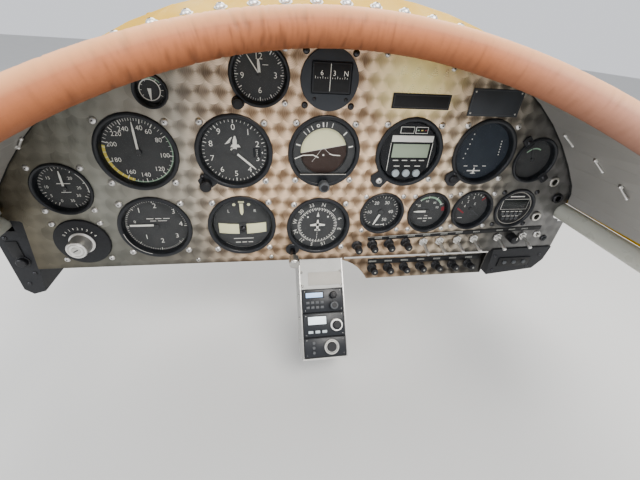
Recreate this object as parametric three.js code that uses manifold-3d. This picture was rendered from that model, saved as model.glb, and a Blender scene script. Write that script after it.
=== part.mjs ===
// Aircraft instrument panel with its scuttle deck, side linings and padded coaming.
// Millimetres, +X to the pilot's right, +Y forward, +Z up.
// Everything is laid out from the centre of the attitude indicator, on the panel's front face,
// and the whole group is then moved so that its origin lies on the front former's flange.
import * as THREE from 'three';
import { mergeVertices } from 'three/addons/utils/BufferGeometryUtils.js';
import Module from 'manifold-3d';

const wasm = await Module();
wasm.setup();

// Driving dimensions
const SHELL_X = 3;
const FRONT_Y = 140;
const REAR_Y = -213;
const GAP = 0.3;
const PANEL_T = 3.2;
const BACK_Y = PANEL_T + GAP;
const PANEL_BOTTOM_Z = -144.2;
const DECK_T = 3;
const LINING_T = 2.5;
const ROLL_R = 14.2;
const ROLL_HALF = 320;
const ROLL_SIDES = 12;
const ROLL_STEPS = 40;
const ROLL_POINTS = 22;
const ROLL_GAP = 0.9;
const ROLL_EDGE = 6;
const FRAME_DEPTH = 6;
const FRAME_WIDTH = 22;
const FORMER_DEPTH = 10;
const FORMER_WIDTH = 28;
const SEAL_T = 3;
const SEAL_RISE = 3;
const SEAL_FOOT_Z = -62;

// Arch of half-width X: z = crown - sag2 (X/300)^2 - sag4 (X/300)^4
const PANEL_ARCH = { crown: 124.5, sag2: 79.5, sag4: 46 };
const DECK_ARCH = { crown: 143, sag2: 83.7, sag4: 43.5 };
const ROLL_LINE = { crown: 115.8, sag2: 87.5, sag4: 18.5, y: -56, back2: 140 };
const ARCH_STEPS = [0, 35, 70, 105, 140, 175, 205, 235, 262, 287, 310, 330];
const PANEL_SIDE = [[336, -52], [339, -64]];
const DECK_SIDE = [[340, -36.3], [345, -60], [345.6, -68.4]];
const LINING_FRONT_Y = -SEAL_RISE - 0.4;
const LINING_FOOT = [337, -66];
const LINING_REAR_Z = -61;
const LINING_FIRST_STEP = 5;

// Just below the roll's ends the skins stop a little short of the rear edge
const SHOULDER = { y: -196, z: -55 };

// Frame tube under each lining
const TUBE = { left: -347, right: 343, z: -80, r: 11, wall: 2.5, sides: 20 };
const ARCH_FOOT_Z = TUBE.z + TUBE.r + 0.4;
const NOTCH = { r: 13, below: 4, above: 0.5 };

// The panel's lower edge from right to left, below its arch
const PANEL_FOOT = [
  [354, -98], [354, -138], [258, -139.6], [254, PANEL_BOTTOM_Z], [38, PANEL_BOTTOM_Z],
  [-329.4, -141.6], [-322, -79.5], [-323.5, -77.5], [-340, -75],
];
const PANEL_HALF = 360;

// How far the drills and cutters reach before and behind the panel's face
const CUTTER_REACH = 40;

// Round instruments: standard case sizes, as radii of the front ring, glass well and panel hole
const CASES = {
  large: { ring: 39.7, well: 35, hole: 40, flange: 41.3, corner: 11, body: 38, sides: 28 },
  small: { ring: 28.7, well: 25, hole: 29, flange: 29.7, corner: 9, body: 27, sides: 24 },
  mini: { ring: 15.7, well: 12.5, hole: 16, flange: 15.9, corner: 4, body: 14, sides: 16 },
};
const RING_PROUD = 2.6;
const WELL_DEPTH = 8;
const FLANGE_T = 4;

// name, x, z, case, depth behind the panel, knob as [x, z, reach, head length] from the centre or null
const INSTRUMENTS = [
  ['airspeed_indicator', -190.8, -2.3, 'large', 80, null],
  ['altimeter', -95.7, -1.1, 'large', 100, [-32, -33.5, 12, 9]],
  ['attitude_indicator', 0, 0, 'large', 118, [0.5, -36, 13, 9]],
  ['round_display_unit', 98.3, 0.6, 'large', 62, null],
  ['course_indicator', 192.3, 1.4, 'large', 95, [-31, -32, 5, 4]],
  ['vertical_speed_indicator', -190.6, -90.3, 'large', 80, null],
  ['turn_and_slip_indicator', -93.4, -90.4, 'large', 105, null],
  ['heading_indicator', -0.8, -94, 'large', 112, [-32.3, -32.5, 34, 14]],
  ['compass', 0.2, 72.5, 'small', 55, null],
  ['clock', -67, 73.5, 'small', 42, [-20.5, -22, 10, 8]],
  ['engine_speed_gauge', -271.3, -41.4, 'small', 50, null],
  ['ignition_switch', -270.8, -105.3, 'small', 45, null],
  ['suction_gauge', 264.6, -7.5, 'small', 48, null],
  ['fuel_gauge', 79.1, -77.4, 'small', 50, null],
  ['oil_gauge', 142.4, -77.6, 'small', 50, null],
  ['cylinder_gauge', 202.9, -75.1, 'small', 50, null],
  ['engine_monitor', 264.9, -74.0, 'small', 60, null],
  ['volt_gauge', -166.5, 56.4, 'mini', 32, null],
];
const ROUND_FLANGE = new Set(['suction_gauge']);
const EDGE_INSTRUMENTS = new Set(['clock', 'compass', 'suction_gauge', 'volt_gauge', 'engine_speed_gauge']);
const FRAME_RELIEF = 8;
const KNOB = { shaft: 4, head: 6.2, tip: 5, edge: 1.5, hole: 4.6, sides: 10 };
const LOCK = { r: 10.4, tip: 9.6, reach: 18.6, face: -2, sides: 20 };

// Breakers and toggles: x along each row; the upper row rises to the right
const UPPER_ROW = { x: 145, z: -121.7, rise: 0.029 };
const BREAKERS_UPPER = [52.1, 73.3, 96.4, 119.9];
const BREAKERS_LOWER = [80.6, 103.8, 128, 152.9, 177.8, 203.2, 228.8];
const TOGGLES = [144.9, 168.7, 194.7, 219.8, 256.5, 295.5];
const BREAKER = {
  collar: 5.6, knob: 4.8, tip: 4.0, edge: 1.2, reach: 17, collarReach: 4, bush: 5.4, body: 24, sides: 8,
};
const TOGGLE = {
  nut: 6, nutReach: 3.2, bush: 4, bushReach: 5, lever: 1.8, tip: 2.3, reach: 24, drop: 7, body: 22,
};
const BUS = { depth: 4, height: 13, margin: 9 };
const NUT_SIDES = 6;
const LEVER_SIDES = 8;

// Tilted plate below the right half: profile in y, z
const SWITCH_PLATE = { left: 37, right: 253, t: 2, topY: 9, topZ: -142.2, footY: 0.5, footZ: -183 };
const SWITCH_FLANGE_Z = -134;
const ROW_SHARE = 0.39;
const SWITCH_CORNER = [
  [37, -153], [44, -155.5], [52, -159.5], [60, -165.5], [66, -172], [71, -179], [75, -186],
  [0, -186], [0, -153],
];

// Centre console, sloping aft and down from the panel's lower edge
const CONSOLE = {
  left: -25, right: 34, y: 4.6, z: -142, slope: 42.4, length: 134, depth: 50, t: 2, apron: 44,
};
const CONSOLE_TAB = { gap: 0.1, t: 2.5, low: -145, high: -137 };
const RADIO = { proud: 2.5, shorter: 6 };
const RADIOS = [
  ['upper_radio', 31],
  ['lower_radio', 31],
  ['console_unit', 25],
];

// Box below the panel's right corner: its chamfers, and the tab that holds it behind the panel
const SIDE_BOX_Y = [-2, 58];
const SIDE_BOX_OUTLINE = [[263, -186], [338, -178], [350, -162], [353.5, -138.5], [259, -140.1]];
const SIDE_BOX_TAB = { x0: 276, x1: 332, gap: 0.1, t: 2, low: -142, high: -132 };

// Box behind the panel's left corner, below and beside the tube
const LEFT_BOX_Y = [3.6, 62];
const LEFT_BOX_OUTLINE = [
  [-358, -91.4], [-335.6, -91.4], [-335.6, -70], [-304, -70], [-304, -139], [-331, -140],
  [-336, -178], [-350, -182], [-358, -174],
];

// Small fittings that stand alone: name, x, z, hole radius
const FITTINGS = [
  ['dimmer_knob', 278, -118.5, 4.4],
  ['push_button', 319, -115.8, 3.7],
  ['panel_lamp', 334, -123.5, 3.6],
  ['phone_jack', 305.5, -35, 5.4],
  ['microphone_jack', 303, -86, 5.4],
  ['spare_jack', 323.5, -59, 5.4],
];
const FITTING_SIDES = 10;
const FITTING_RELIEF = 2;

// Labels and plates: name, x from and to, thickness, z from and to
const PLATES = [
  ['name_plate', 67.5, 131.7, 1, 48.5, 63.5],
  ['placard', 155.1, 216.1, 0.9, 43.2, 71.2],
];
const LOWER_LABEL = { x0: 74, x1: 246, t: 0.6, low: 6.5, high: 13.7 };

// The upper strip rises to the right, and is notched where it passes the switches
const UPPER_LABEL = { x: 193.5, z: -109.8, length: 255, height: 6, t: 0.6, rise: 0.036, clear: 0.4 };

const COLOURS = {
  swirl: [0xb3a48f, 0.35, 0.9],
  yellow: [0xd6a614, 0.4, 0.1],
  lining: [0x77756f, 0.6, 0.1],
  leather: [0xa9603c, 0.5, 0],
  rubber: [0x1b1b1b, 0.8, 0],
  white: [0xd8d8d2, 0.4, 0.1],
  black: [0x1d1e21, 0.5, 0.1],
  label: [0x141414, 0.6, 0],
  steel: [0xb9b9b6, 0.3, 0.9],
  grey: [0x8f8f8a, 0.5, 0.3],
};

const group = new THREE.Group();
group.name = 'instrument_panel_assembly';

function add(name, geometry, colour) {
  const [hex, roughness, metalness] = COLOURS[colour];
  const material = new THREE.MeshStandardMaterial({ color: hex, roughness, metalness });
  const mesh = new THREE.Mesh(geometry, material);
  mesh.name = name;
  group.add(mesh);
  return mesh;
}

// Solids and booleans

function toSolid(geometry) {
  const bare = geometry.clone();
  bare.deleteAttribute('normal');
  bare.deleteAttribute('uv');
  const merged = mergeVertices(bare, 1e-4);
  return new wasm.Manifold(new wasm.Mesh({
    numProp: 3,
    vertProperties: new Float32Array(merged.attributes.position.array),
    triVerts: new Uint32Array(merged.index.array),
  }));
}

function toGeometry(solid) {
  const mesh = solid.getMesh();
  const geometry = new THREE.BufferGeometry();
  geometry.setAttribute('position', new THREE.BufferAttribute(new Float32Array(mesh.vertProperties), 3));
  geometry.setIndex(new THREE.BufferAttribute(new Uint32Array(mesh.triVerts), 1));
  return geometry;
}

const join = (solids) => solids.reduce((a, b) => a.add(b));
const cut = (solid, tools) => tools.reduce((a, b) => a.subtract(b), solid);

// An outline in x, z stretched along y from y0 to y1
function slab(points, y0, y1) {
  const shape = new THREE.Shape(points.map(([x, z]) => new THREE.Vector2(x, z)));
  const geometry = new THREE.ExtrudeGeometry(shape, { depth: y1 - y0, bevelEnabled: false });
  geometry.rotateX(Math.PI / 2);
  geometry.translate(0, y1, 0);
  return geometry;
}

// An outline in y, z stretched along x from x0 to x1
function rail(points, x0, x1) {
  const shape = new THREE.Shape(points.map(([y, z]) => new THREE.Vector2(y, z)));
  const geometry = new THREE.ExtrudeGeometry(shape, { depth: x1 - x0, bevelEnabled: false });
  geometry.applyMatrix4(new THREE.Matrix4().set(
    0, 0, 1, x0,
    1, 0, 0, 0,
    0, 1, 0, 0,
    0, 0, 0, 1,
  ));
  return geometry;
}

// A turned solid about a line along y through x, z; profile as [radius, y]
function turned(profile, x, z, sides) {
  const geometry = new THREE.LatheGeometry(profile.map(([r, y]) => new THREE.Vector2(r, y)), sides);
  geometry.translate(x, 0, z);
  return geometry;
}

const rod = (r, x, z, y0, y1, sides) => turned([[0, y0], [r, y0], [r, y1], [0, y1]], x, z, sides);

const box = (x0, x1, y0, y1, z0, z1) => slab([[x0, z0], [x1, z0], [x1, z1], [x0, z1]], y0, y1);

const drill = (r, x, z, sides) => toSolid(rod(r, x, z, -CUTTER_REACH, CUTTER_REACH, sides));

// Solid between two grids of points that have the same rows and columns
function skin(outer, inner) {
  const rows = outer.length;
  const cols = outer[0].length;
  const points = [...outer.flat(), ...inner.flat()];
  const at = (side, i, j) => side * rows * cols + i * cols + j;
  const index = [];
  const quad = (a, b, c, d) => index.push(a, b, c, a, c, d);
  for (let i = 0; i < rows - 1; i += 1) {
    for (let j = 0; j < cols - 1; j += 1) {
      quad(at(0, i, j), at(0, i + 1, j), at(0, i + 1, j + 1), at(0, i, j + 1));
      quad(at(1, i, j), at(1, i, j + 1), at(1, i + 1, j + 1), at(1, i + 1, j));
    }
    quad(at(0, i, 0), at(1, i, 0), at(1, i + 1, 0), at(0, i + 1, 0));
    quad(at(0, i, cols - 1), at(0, i + 1, cols - 1), at(1, i + 1, cols - 1), at(1, i, cols - 1));
  }
  for (let j = 0; j < cols - 1; j += 1) {
    quad(at(0, 0, j), at(0, 0, j + 1), at(1, 0, j + 1), at(1, 0, j));
    quad(at(0, rows - 1, j), at(1, rows - 1, j), at(1, rows - 1, j + 1), at(0, rows - 1, j + 1));
  }
  const geometry = new THREE.BufferGeometry();
  const flat = points.flatMap((p) => [p.x, p.y, p.z]);
  geometry.setAttribute('position', new THREE.Float32BufferAttribute(flat, 3));
  geometry.setIndex(index);
  return outward(geometry);
}

// Turns a closed surface the right way round when its volume comes out negative
function outward(geometry) {
  const p = geometry.attributes.position;
  const index = geometry.index.array;
  const [a, b, c] = [new THREE.Vector3(), new THREE.Vector3(), new THREE.Vector3()];
  let volume = 0;
  for (let i = 0; i < index.length; i += 3) {
    a.fromBufferAttribute(p, index[i]);
    b.fromBufferAttribute(p, index[i + 1]);
    c.fromBufferAttribute(p, index[i + 2]);
    volume += a.dot(b.cross(c));
  }
  if (volume < 0) {
    for (let i = 0; i < index.length; i += 3) [index[i], index[i + 1]] = [index[i + 1], index[i]];
  }
  return geometry;
}

// Arched outlines

const archZ = ({ crown, sag2, sag4 }, x) => crown - sag2 * (x / 300) ** 2 - sag4 * (x / 300) ** 4;

// Left to right points of an arch with its two straight sides
function archOutline(arch, side) {
  const right = [...ARCH_STEPS.map((x) => [x, archZ(arch, x)]), ...side];
  const left = right.slice(1).map(([x, z]) => [-x, z]).reverse();
  return [...left, ...right].map(([x, z]) => [x + SHELL_X, z]);
}

// The outline moved inwards by a distance along its own normals
function inset(points, distance) {
  return points.map(([x, z], i) => {
    const [x0, z0] = points[Math.max(i - 1, 0)];
    const [x1, z1] = points[Math.min(i + 1, points.length - 1)];
    const length = Math.hypot(x1 - x0, z1 - z0);
    return [x + distance * (z1 - z0) / length, z - distance * (x1 - x0) / length];
  });
}

const panelOutline = archOutline(PANEL_ARCH, PANEL_SIDE);
const deckOutline = archOutline(DECK_ARCH, DECK_SIDE);

// A plane band between two insets of an outline, from y0 to y1, its feet cut level at z
function archBand(outline, insetOuter, insetInner, y0, y1, footZ) {
  const outer = inset(outline, insetOuter);
  const inner = inset(outline, insetInner).reverse();
  const band = toSolid(slab([...outer, ...inner], y0, y1));
  const wide = 2 * PANEL_HALF;
  const below = toSolid(box(-wide, wide, y0 - GAP, y1 + GAP, footZ - wide, footZ));
  return band.subtract(below);
}

// Padded roll

const rollPoint = (x) => new THREE.Vector3(
  x + SHELL_X,
  ROLL_LINE.y - ROLL_LINE.back2 * (x / 300) ** 2,
  archZ(ROLL_LINE, x),
);

function coamingRoll() {
  const points = [];
  for (let i = 0; i <= ROLL_POINTS; i += 1) points.push(rollPoint(ROLL_HALF * (2 * i / ROLL_POINTS - 1)));
  const shape = new THREE.Shape();
  for (let i = 0; i < ROLL_SIDES; i += 1) {
    const a = (i / ROLL_SIDES) * 2 * Math.PI;
    const p = [ROLL_R * Math.cos(a), ROLL_R * Math.sin(a)];
    if (i === 0) shape.moveTo(...p);
    else shape.lineTo(...p);
  }
  const path = new THREE.CatmullRomCurve3(points);
  return new THREE.ExtrudeGeometry(shape, { steps: ROLL_STEPS, extrudePath: path, bevelEnabled: false });
}

// Where a skin that runs aft at x, z stops short of the roll
function stopAtRoll(x, side) {
  const centre = rollPoint(Math.min(Math.max(x, -ROLL_HALF), ROLL_HALF));
  const ahead = rollPoint(x + 1).sub(rollPoint(x - 1)).normalize();
  const clear = Math.sqrt(Math.max((ROLL_R + ROLL_GAP) ** 2 - (side - Math.sign(side) * DECK_T) ** 2, 0));
  return centre.add(new THREE.Vector3(0, clear / Math.sqrt(1 - ahead.y ** 2), 0));
}

// Rows of a skin that runs from the roll to y1 by way of y0; below the roll it starts at REAR_Y
function skinRows(outline, yStops, rollOffset) {
  return outline.map(([x, z]) => {
    const half = x - SHELL_X;
    const below = Math.abs(half) > ROLL_HALF;
    const rearY = z > SHOULDER.z ? SHOULDER.y : REAR_Y;
    const start = below ? new THREE.Vector3(x, rearY, z) : stopAtRoll(half, rollOffset);
    if (!below) start.add(rollNormal(half).multiplyScalar(rollOffset));
    return [start, ...yStops.map((y) => new THREE.Vector3(x, y, z))];
  });
}

// Upward normal of the roll's line, seen from the front
function rollNormal(x) {
  const ahead = rollPoint(x + 1).sub(rollPoint(x - 1));
  return new THREE.Vector3(-ahead.z, 0, ahead.x).normalize();
}

function moved(rows, distance) {
  return rows.map((row, i) => row.map((p, j) => {
    const before = rows[Math.max(i - 1, 0)][j];
    const after = rows[Math.min(i + 1, rows.length - 1)][j];
    const length = Math.hypot(after.x - before.x, after.z - before.z);
    return new THREE.Vector3(
      p.x + distance * (after.z - before.z) / length,
      p.y,
      p.z - distance * (after.x - before.x) / length,
    );
  }));
}

function deckSkin() {
  const rows = skinRows(deckOutline, [0, FRONT_Y], ROLL_EDGE);
  return skin(rows, moved(rows, DECK_T));
}

function lining(side) {
  const steps = ARCH_STEPS.slice(LINING_FIRST_STEP);
  const arch = [...steps.map((x) => [x, archZ(PANEL_ARCH, x)]), PANEL_SIDE[0], LINING_FOOT];
  const outline = arch.map(([x, z]) => [side * x + SHELL_X, z]);
  if (side < 0) outline.reverse();
  const rows = skinRows(outline, [LINING_FRONT_Y], -ROLL_EDGE);
  const foot = side < 0 ? rows[0] : rows[rows.length - 1];
  foot[0].z = LINING_REAR_Z;
  return skin(moved(rows, -LINING_T), rows);
}

// Instruments

const caseOf = (row) => CASES[row[3]];

function flangeOutline(x, z, half, corner) {
  const c = half - corner;
  return [[c, half], [half, c], [half, -c], [c, -half], [-c, -half], [-half, -c], [-half, c], [-c, half]]
    .map(([dx, dz]) => [x + dx, z + dz]).reverse();
}

function knobAt(x, z, [dx, dz, reach, length], y1) {
  const profile = [
    [0, -reach], [KNOB.tip, -reach], [KNOB.head, KNOB.edge - reach], [KNOB.head, length - reach],
    [KNOB.shaft, length - reach], [KNOB.shaft, y1], [0, y1],
  ];
  return toSolid(turned(profile, x + dx, z + dz, KNOB.sides));
}

function instrument(row) {
  const [name, x, z, , depth, knob] = row;
  const c = caseOf(row);
  const well = WELL_DEPTH - RING_PROUD;
  const flangeY = BACK_Y + FLANGE_T;
  const profile = [
    [0, well], [c.well, well], [c.well, -RING_PROUD], [c.ring - 1, -RING_PROUD], [c.ring, -RING_PROUD + 1],
    [c.ring, flangeY], [c.body, flangeY], [c.body, depth], [0, depth],
  ];
  const parts = [toSolid(turned(profile, x, z, c.sides))];
  const bore = toSolid(rod(c.ring - 2, x, z, BACK_Y - 1, flangeY + 1, c.sides));
  const flange = ROUND_FLANGE.has(name)
    ? toSolid(rod(c.flange + 1, x, z, BACK_Y, flangeY, c.sides))
    : toSolid(slab(flangeOutline(x, z, c.flange, c.corner), BACK_Y, flangeY));
  parts.push(flange.subtract(bore));
  if (knob) parts.push(knobAt(x, z, knob, flangeY - 1));
  if (name === 'ignition_switch') parts.push(lockAt(x, z, c.well + 1, well + 1));
  return toGeometry(join(parts));
}

// The barrel of a lock on a flat face that fills the well
function lockAt(x, z, r, y1) {
  const profile = [
    [0, -LOCK.reach], [LOCK.tip, -LOCK.reach], [LOCK.r, LOCK.face], [r, LOCK.face], [r, y1], [0, y1],
  ];
  return toSolid(turned(profile, x, z, LOCK.sides));
}

const panelHole = (row) => drill(caseOf(row).hole, row[1], row[2], caseOf(row).sides);

// Switches

function breaker(x, z, y1) {
  const b = BREAKER;
  const profile = [
    [0, -b.reach], [b.tip, -b.reach], [b.knob, b.edge - b.reach], [b.knob, -b.collarReach],
    [b.collar, -b.collarReach], [b.collar, -GAP], [b.bush, -GAP], [b.bush, y1], [0, y1],
  ];
  return turned(profile, x, z, b.sides);
}

const rowZ = (x) => UPPER_ROW.z + UPPER_ROW.rise * (x - UPPER_ROW.x);

function toggle(x, z, y1) {
  const t = TOGGLE;
  const profile = [
    [0, -t.bushReach], [t.bush, -t.bushReach], [t.nut, -t.nutReach], [t.nut, -GAP],
    [t.bush, -GAP], [t.bush, y1], [0, y1],
  ];
  const lever = new THREE.CylinderGeometry(t.tip, t.lever, t.reach, LEVER_SIDES);
  lever.translate(0, t.reach / 2, 0);
  lever.rotateX(Math.PI - Math.atan2(t.drop, t.reach));
  lever.translate(x, -t.nutReach, z);
  return toSolid(turned(profile, x, z, NUT_SIDES)).add(toSolid(lever));
}

// The bar behind a row of devices
function busBar(xs, z, y0, y1) {
  const [first, last] = [xs[0] - BUS.margin, xs[xs.length - 1] + BUS.margin];
  return box(first, last, y0, y1, z - BUS.height / 2, z + BUS.height / 2);
}

// Devices joined at the back by their bus bar, so that each row is one piece
function busRow(devices, xs, bodyDepth) {
  const y = BACK_Y + bodyDepth;
  const z = rowZ((xs[0] + xs[xs.length - 1]) / 2);
  return toGeometry(join([...devices, toSolid(busBar(xs, z, y, y + BUS.depth))]));
}

// Pieces

function tubeNotch(x) {
  const edge = x + Math.sign(x) * PANEL_HALF;
  const [x0, x1] = [Math.min(x, edge), Math.max(x, edge)];
  const [low, high] = [TUBE.z - NOTCH.r - NOTCH.below, TUBE.z + NOTCH.r - NOTCH.above];
  const slot = toSolid(box(x0, x1, -CUTTER_REACH, CUTTER_REACH, low, high));
  return slot.add(drill(NOTCH.r, x, TUBE.z, TUBE.sides));
}

function panelPlate() {
  const plate = toSolid(slab([...panelOutline, ...PANEL_FOOT], 0, PANEL_T));
  const holes = INSTRUMENTS.map(panelHole);
  for (const [, x, z, , , knob] of INSTRUMENTS) {
    if (knob) holes.push(drill(KNOB.hole, x + knob[0], z + knob[1], KNOB.sides));
  }
  for (const x of BREAKERS_UPPER) holes.push(drill(BREAKER.bush + GAP, x, rowZ(x), BREAKER.sides));
  for (const x of TOGGLES) holes.push(drill(TOGGLE.bush + GAP, x, rowZ(x), NUT_SIDES));
  for (const [, x, z, r] of FITTINGS) holes.push(drill(r, x, z, FITTING_SIDES));
  return cut(plate, [...holes, tubeNotch(TUBE.left), tubeNotch(TUBE.right)]);
}

function panelFrame() {
  const inner = DECK_T + FRAME_WIDTH;
  const frame = archBand(deckOutline, DECK_T + GAP, inner, BACK_Y, BACK_Y + FRAME_DEPTH, ARCH_FOOT_Z);
  const near = INSTRUMENTS.filter(([name]) => EDGE_INSTRUMENTS.has(name));
  const clear = near.map((row) => drill(caseOf(row).flange + FRAME_RELIEF, row[1], row[2], CASES.mini.sides));
  for (const [, x, z, r] of FITTINGS) clear.push(drill(r + FITTING_RELIEF, x, z, FITTING_SIDES));
  return cut(frame, clear);
}

const tiltOf = Math.atan2(SWITCH_PLATE.topY - SWITCH_PLATE.footY, SWITCH_PLATE.topZ - SWITCH_PLATE.footZ);

function switchPlate() {
  const s = SWITCH_PLATE;
  const profile = [
    [BACK_Y, SWITCH_FLANGE_Z], [BACK_Y, s.topZ], [s.topY, s.topZ], [s.footY, s.footZ],
    [s.footY + s.t, s.footZ - s.t / 4], [s.topY + s.t, s.topZ + s.t],
    [BACK_Y + s.t, s.topZ + s.t], [BACK_Y + s.t, SWITCH_FLANGE_Z],
  ];
  const plate = toSolid(rail(profile, s.left, s.right));
  const notch = toSolid(slab(SWITCH_CORNER, -CUTTER_REACH, CUTTER_REACH));
  const edgeZ = PANEL_BOTTOM_Z - GAP;
  const gusset = [[s.topY + s.t, edgeZ], [0, edgeZ], [s.footY, s.footZ], [s.footY + s.t, s.footZ]];
  const end = toSolid(rail(gusset, s.right - s.t, s.right));
  const bore = (x) => rod(BREAKER.bush + GAP, x, 0, -CUTTER_REACH, CUTTER_REACH, BREAKER.sides);
  const holes = BREAKERS_LOWER.map((x) => tilted(bore(x)));
  return cut(plate.subtract(notch).add(end), holes);
}

// Puts a solid made round y = 0, z = 0 onto the tilted plate's front face, at the breakers' height
function tilted(geometry) {
  const s = SWITCH_PLATE;
  geometry.rotateX(-tiltOf);
  geometry.translate(0, s.footY + ROW_SHARE * (s.topY - s.footY), s.footZ + ROW_SHARE * (s.topZ - s.footZ));
  return toSolid(geometry);
}

function lowerBreakers() {
  const devices = BREAKERS_LOWER.map((x) => tilted(breaker(x, 0, BREAKER.body)));
  const bus = busBar(BREAKERS_LOWER, 0, BREAKER.body - 1, BREAKER.body + BUS.depth);
  return toGeometry(join([...devices, tilted(bus)]));
}

const FITTING_PROFILES = {
  dimmer_knob: [[0, -13], [5, -13], [6, -11], [6.5, -GAP], [4, -GAP], [4, 24], [0, 24]],
  push_button: [[0, -6], [2.6, -6], [2.6, -3], [4.3, -2.5], [4.3, -GAP], [3.4, -GAP], [3.4, 26], [0, 26]],
  panel_lamp: [[0, -4], [2.5, -3.4], [4.5, -1.5], [4.5, -GAP], [3.2, -GAP], [3.2, 22], [0, 22]],
};
const JACK_PROFILE = [[0, -1], [3.4, -1], [3.4, -3.4], [6.6, -3.4], [6.6, -GAP], [5, -GAP], [5, 30], [0, 30]];

// A point of the console, s along its slope and d below its face
function consolePoint(s, d) {
  const a = THREE.MathUtils.degToRad(CONSOLE.slope);
  return [CONSOLE.y - s * Math.sin(a) + d * Math.cos(a), CONSOLE.z - s * Math.cos(a) - d * Math.sin(a)];
}

const consoleBlock = (x0, x1, s0, s1, d0, d1) => toSolid(rail(
  [consolePoint(s0, d0), consolePoint(s1, d0), consolePoint(s1, d1), consolePoint(s0, d1)], x0, x1,
));

function consoleFrame() {
  const { left, right, length, depth, t, apron } = CONSOLE;
  const tabY = BACK_Y + CONSOLE_TAB.gap;
  const solid = join([
    consoleBlock(left, left + t, 0, length, 0, depth),
    consoleBlock(right - t, right, 0, length, 0, depth),
    consoleBlock(left, right, 0, apron, 0, t),
    consoleBlock(left, right, length - t, length, 0, depth),
    toSolid(box(left, right, tabY, tabY + CONSOLE_TAB.t, CONSOLE_TAB.low, CONSOLE_TAB.high)),
  ]);
  const panel = box(left - t, right + t, -CUTTER_REACH, BACK_Y, PANEL_BOTTOM_Z - GAP, 0);
  return solid.subtract(toSolid(panel));
}

function upperLabel() {
  const { x, z, length, height, t, rise, clear } = UPPER_LABEL;
  const strip = box(-length / 2, length / 2, -GAP - t, -GAP, -height / 2, height / 2);
  strip.rotateY(-Math.atan(rise));
  strip.translate(x, 0, z);
  const notch = (at, r) => drill(r + clear, at, rowZ(at), CASES.mini.sides);
  const collars = BREAKERS_UPPER.map((at) => notch(at, BREAKER.collar));
  const nuts = TOGGLES.map((at) => notch(at, TOGGLE.nut));
  return toGeometry(cut(toSolid(strip), [...collars, ...nuts]));
}

function sideBox() {
  const tab = SIDE_BOX_TAB;
  const tabY = BACK_Y + tab.gap;
  const body = toSolid(slab(SIDE_BOX_OUTLINE, ...SIDE_BOX_Y));
  return body.add(toSolid(box(tab.x0, tab.x1, tabY, tabY + tab.t, tab.low, tab.high)));
}

function frameTube(x) {
  const { z, r, wall } = TUBE;
  const ring = [[r - wall, REAR_Y], [r, REAR_Y], [r, FRONT_Y], [r - wall, FRONT_Y], [r - wall, REAR_Y]];
  return turned(ring, x, z, TUBE.sides);
}

// Assembly

add('panel_plate', toGeometry(panelPlate()), 'swirl');
add('lower_switch_plate', toGeometry(switchPlate()), 'swirl');
add('panel_frame', toGeometry(panelFrame()), 'grey');
add('front_former', toGeometry(archBand(
  deckOutline, DECK_T + GAP, DECK_T + FORMER_WIDTH, FRONT_Y - FORMER_DEPTH, FRONT_Y, ARCH_FOOT_Z,
)), 'grey');
add('deck_skin', deckSkin(), 'yellow');
add('left_side_lining', lining(-1), 'lining');
add('right_side_lining', lining(1), 'lining');
add('coaming_roll', coamingRoll(), 'leather');
add('panel_edge_seal', toGeometry(archBand(
  panelOutline, -SEAL_T, -GAP, -SEAL_RISE, PANEL_T, SEAL_FOOT_Z,
)), 'rubber');
add('left_frame_tube', frameTube(TUBE.left), 'white');
add('right_frame_tube', frameTube(TUBE.right), 'white');

for (const row of INSTRUMENTS) add(row[0], instrument(row), 'black');

const upperBreakers = BREAKERS_UPPER
  .map((x) => toSolid(breaker(x, rowZ(x), BACK_Y + BREAKER.body + 1)));
const toggles = TOGGLES.map((x) => toggle(x, rowZ(x), BACK_Y + TOGGLE.body + 1));
add('upper_breaker_row', busRow(upperBreakers, BREAKERS_UPPER, BREAKER.body), 'black');
add('toggle_row', busRow(toggles, TOGGLES, TOGGLE.body), 'steel');
add('lower_breaker_row', lowerBreakers(), 'black');

add('upper_label_strip', upperLabel(), 'label');
for (const [name, x0, x1, t, z0, z1] of PLATES) add(name, box(x0, x1, -GAP - t, -GAP, z0, z1), 'label');
{
  const { x0, x1, t, low, high } = LOWER_LABEL;
  add('lower_label_strip', toGeometry(tilted(box(x0, x1, -GAP - t, -GAP, low, high))), 'label');
}

for (const [name, x, z] of FITTINGS) {
  const profile = FITTING_PROFILES[name] ?? JACK_PROFILE;
  const black = name === 'dimmer_knob' || name === 'panel_lamp';
  add(name, turned(profile, x, z, FITTING_SIDES), black ? 'black' : 'steel');
}

add('side_box', toGeometry(sideBox()), 'black');
add('left_side_box', slab([...LEFT_BOX_OUTLINE].reverse(), ...LEFT_BOX_Y), 'black');
add('console_frame', toGeometry(consoleFrame()), 'grey');
let along = CONSOLE.apron + GAP;
for (const [name, length] of RADIOS) {
  const inner = [CONSOLE.left + CONSOLE.t + GAP, CONSOLE.right - CONSOLE.t - GAP];
  const end = along + length - GAP;
  const block = consoleBlock(...inner, along, end, -RADIO.proud, CONSOLE.depth - RADIO.shorter);
  add(name, toGeometry(block), 'black');
  along += length;
}

// The origin: top centre of the front former's flange
const FLANGE_Z = DECK_ARCH.crown - DECK_T - GAP - FORMER_WIDTH / 2;
group.position.set(-SHELL_X, -FRONT_Y, -FLANGE_Z);
group.updateMatrixWorld(true);

export default group;
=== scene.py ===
"""Aircraft instrument panel with a scuttle deck and padded coaming: dials, switches, radios, leather, paint.

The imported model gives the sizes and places. New pieces are laid out in millimetres from the centre of the
attitude indicator on the panel's front face: X to the pilot's right, Y forward, Z up.
"""

import math
from collections import namedtuple

import bmesh
import bpy
from mathutils import Matrix, Vector, noise


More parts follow.
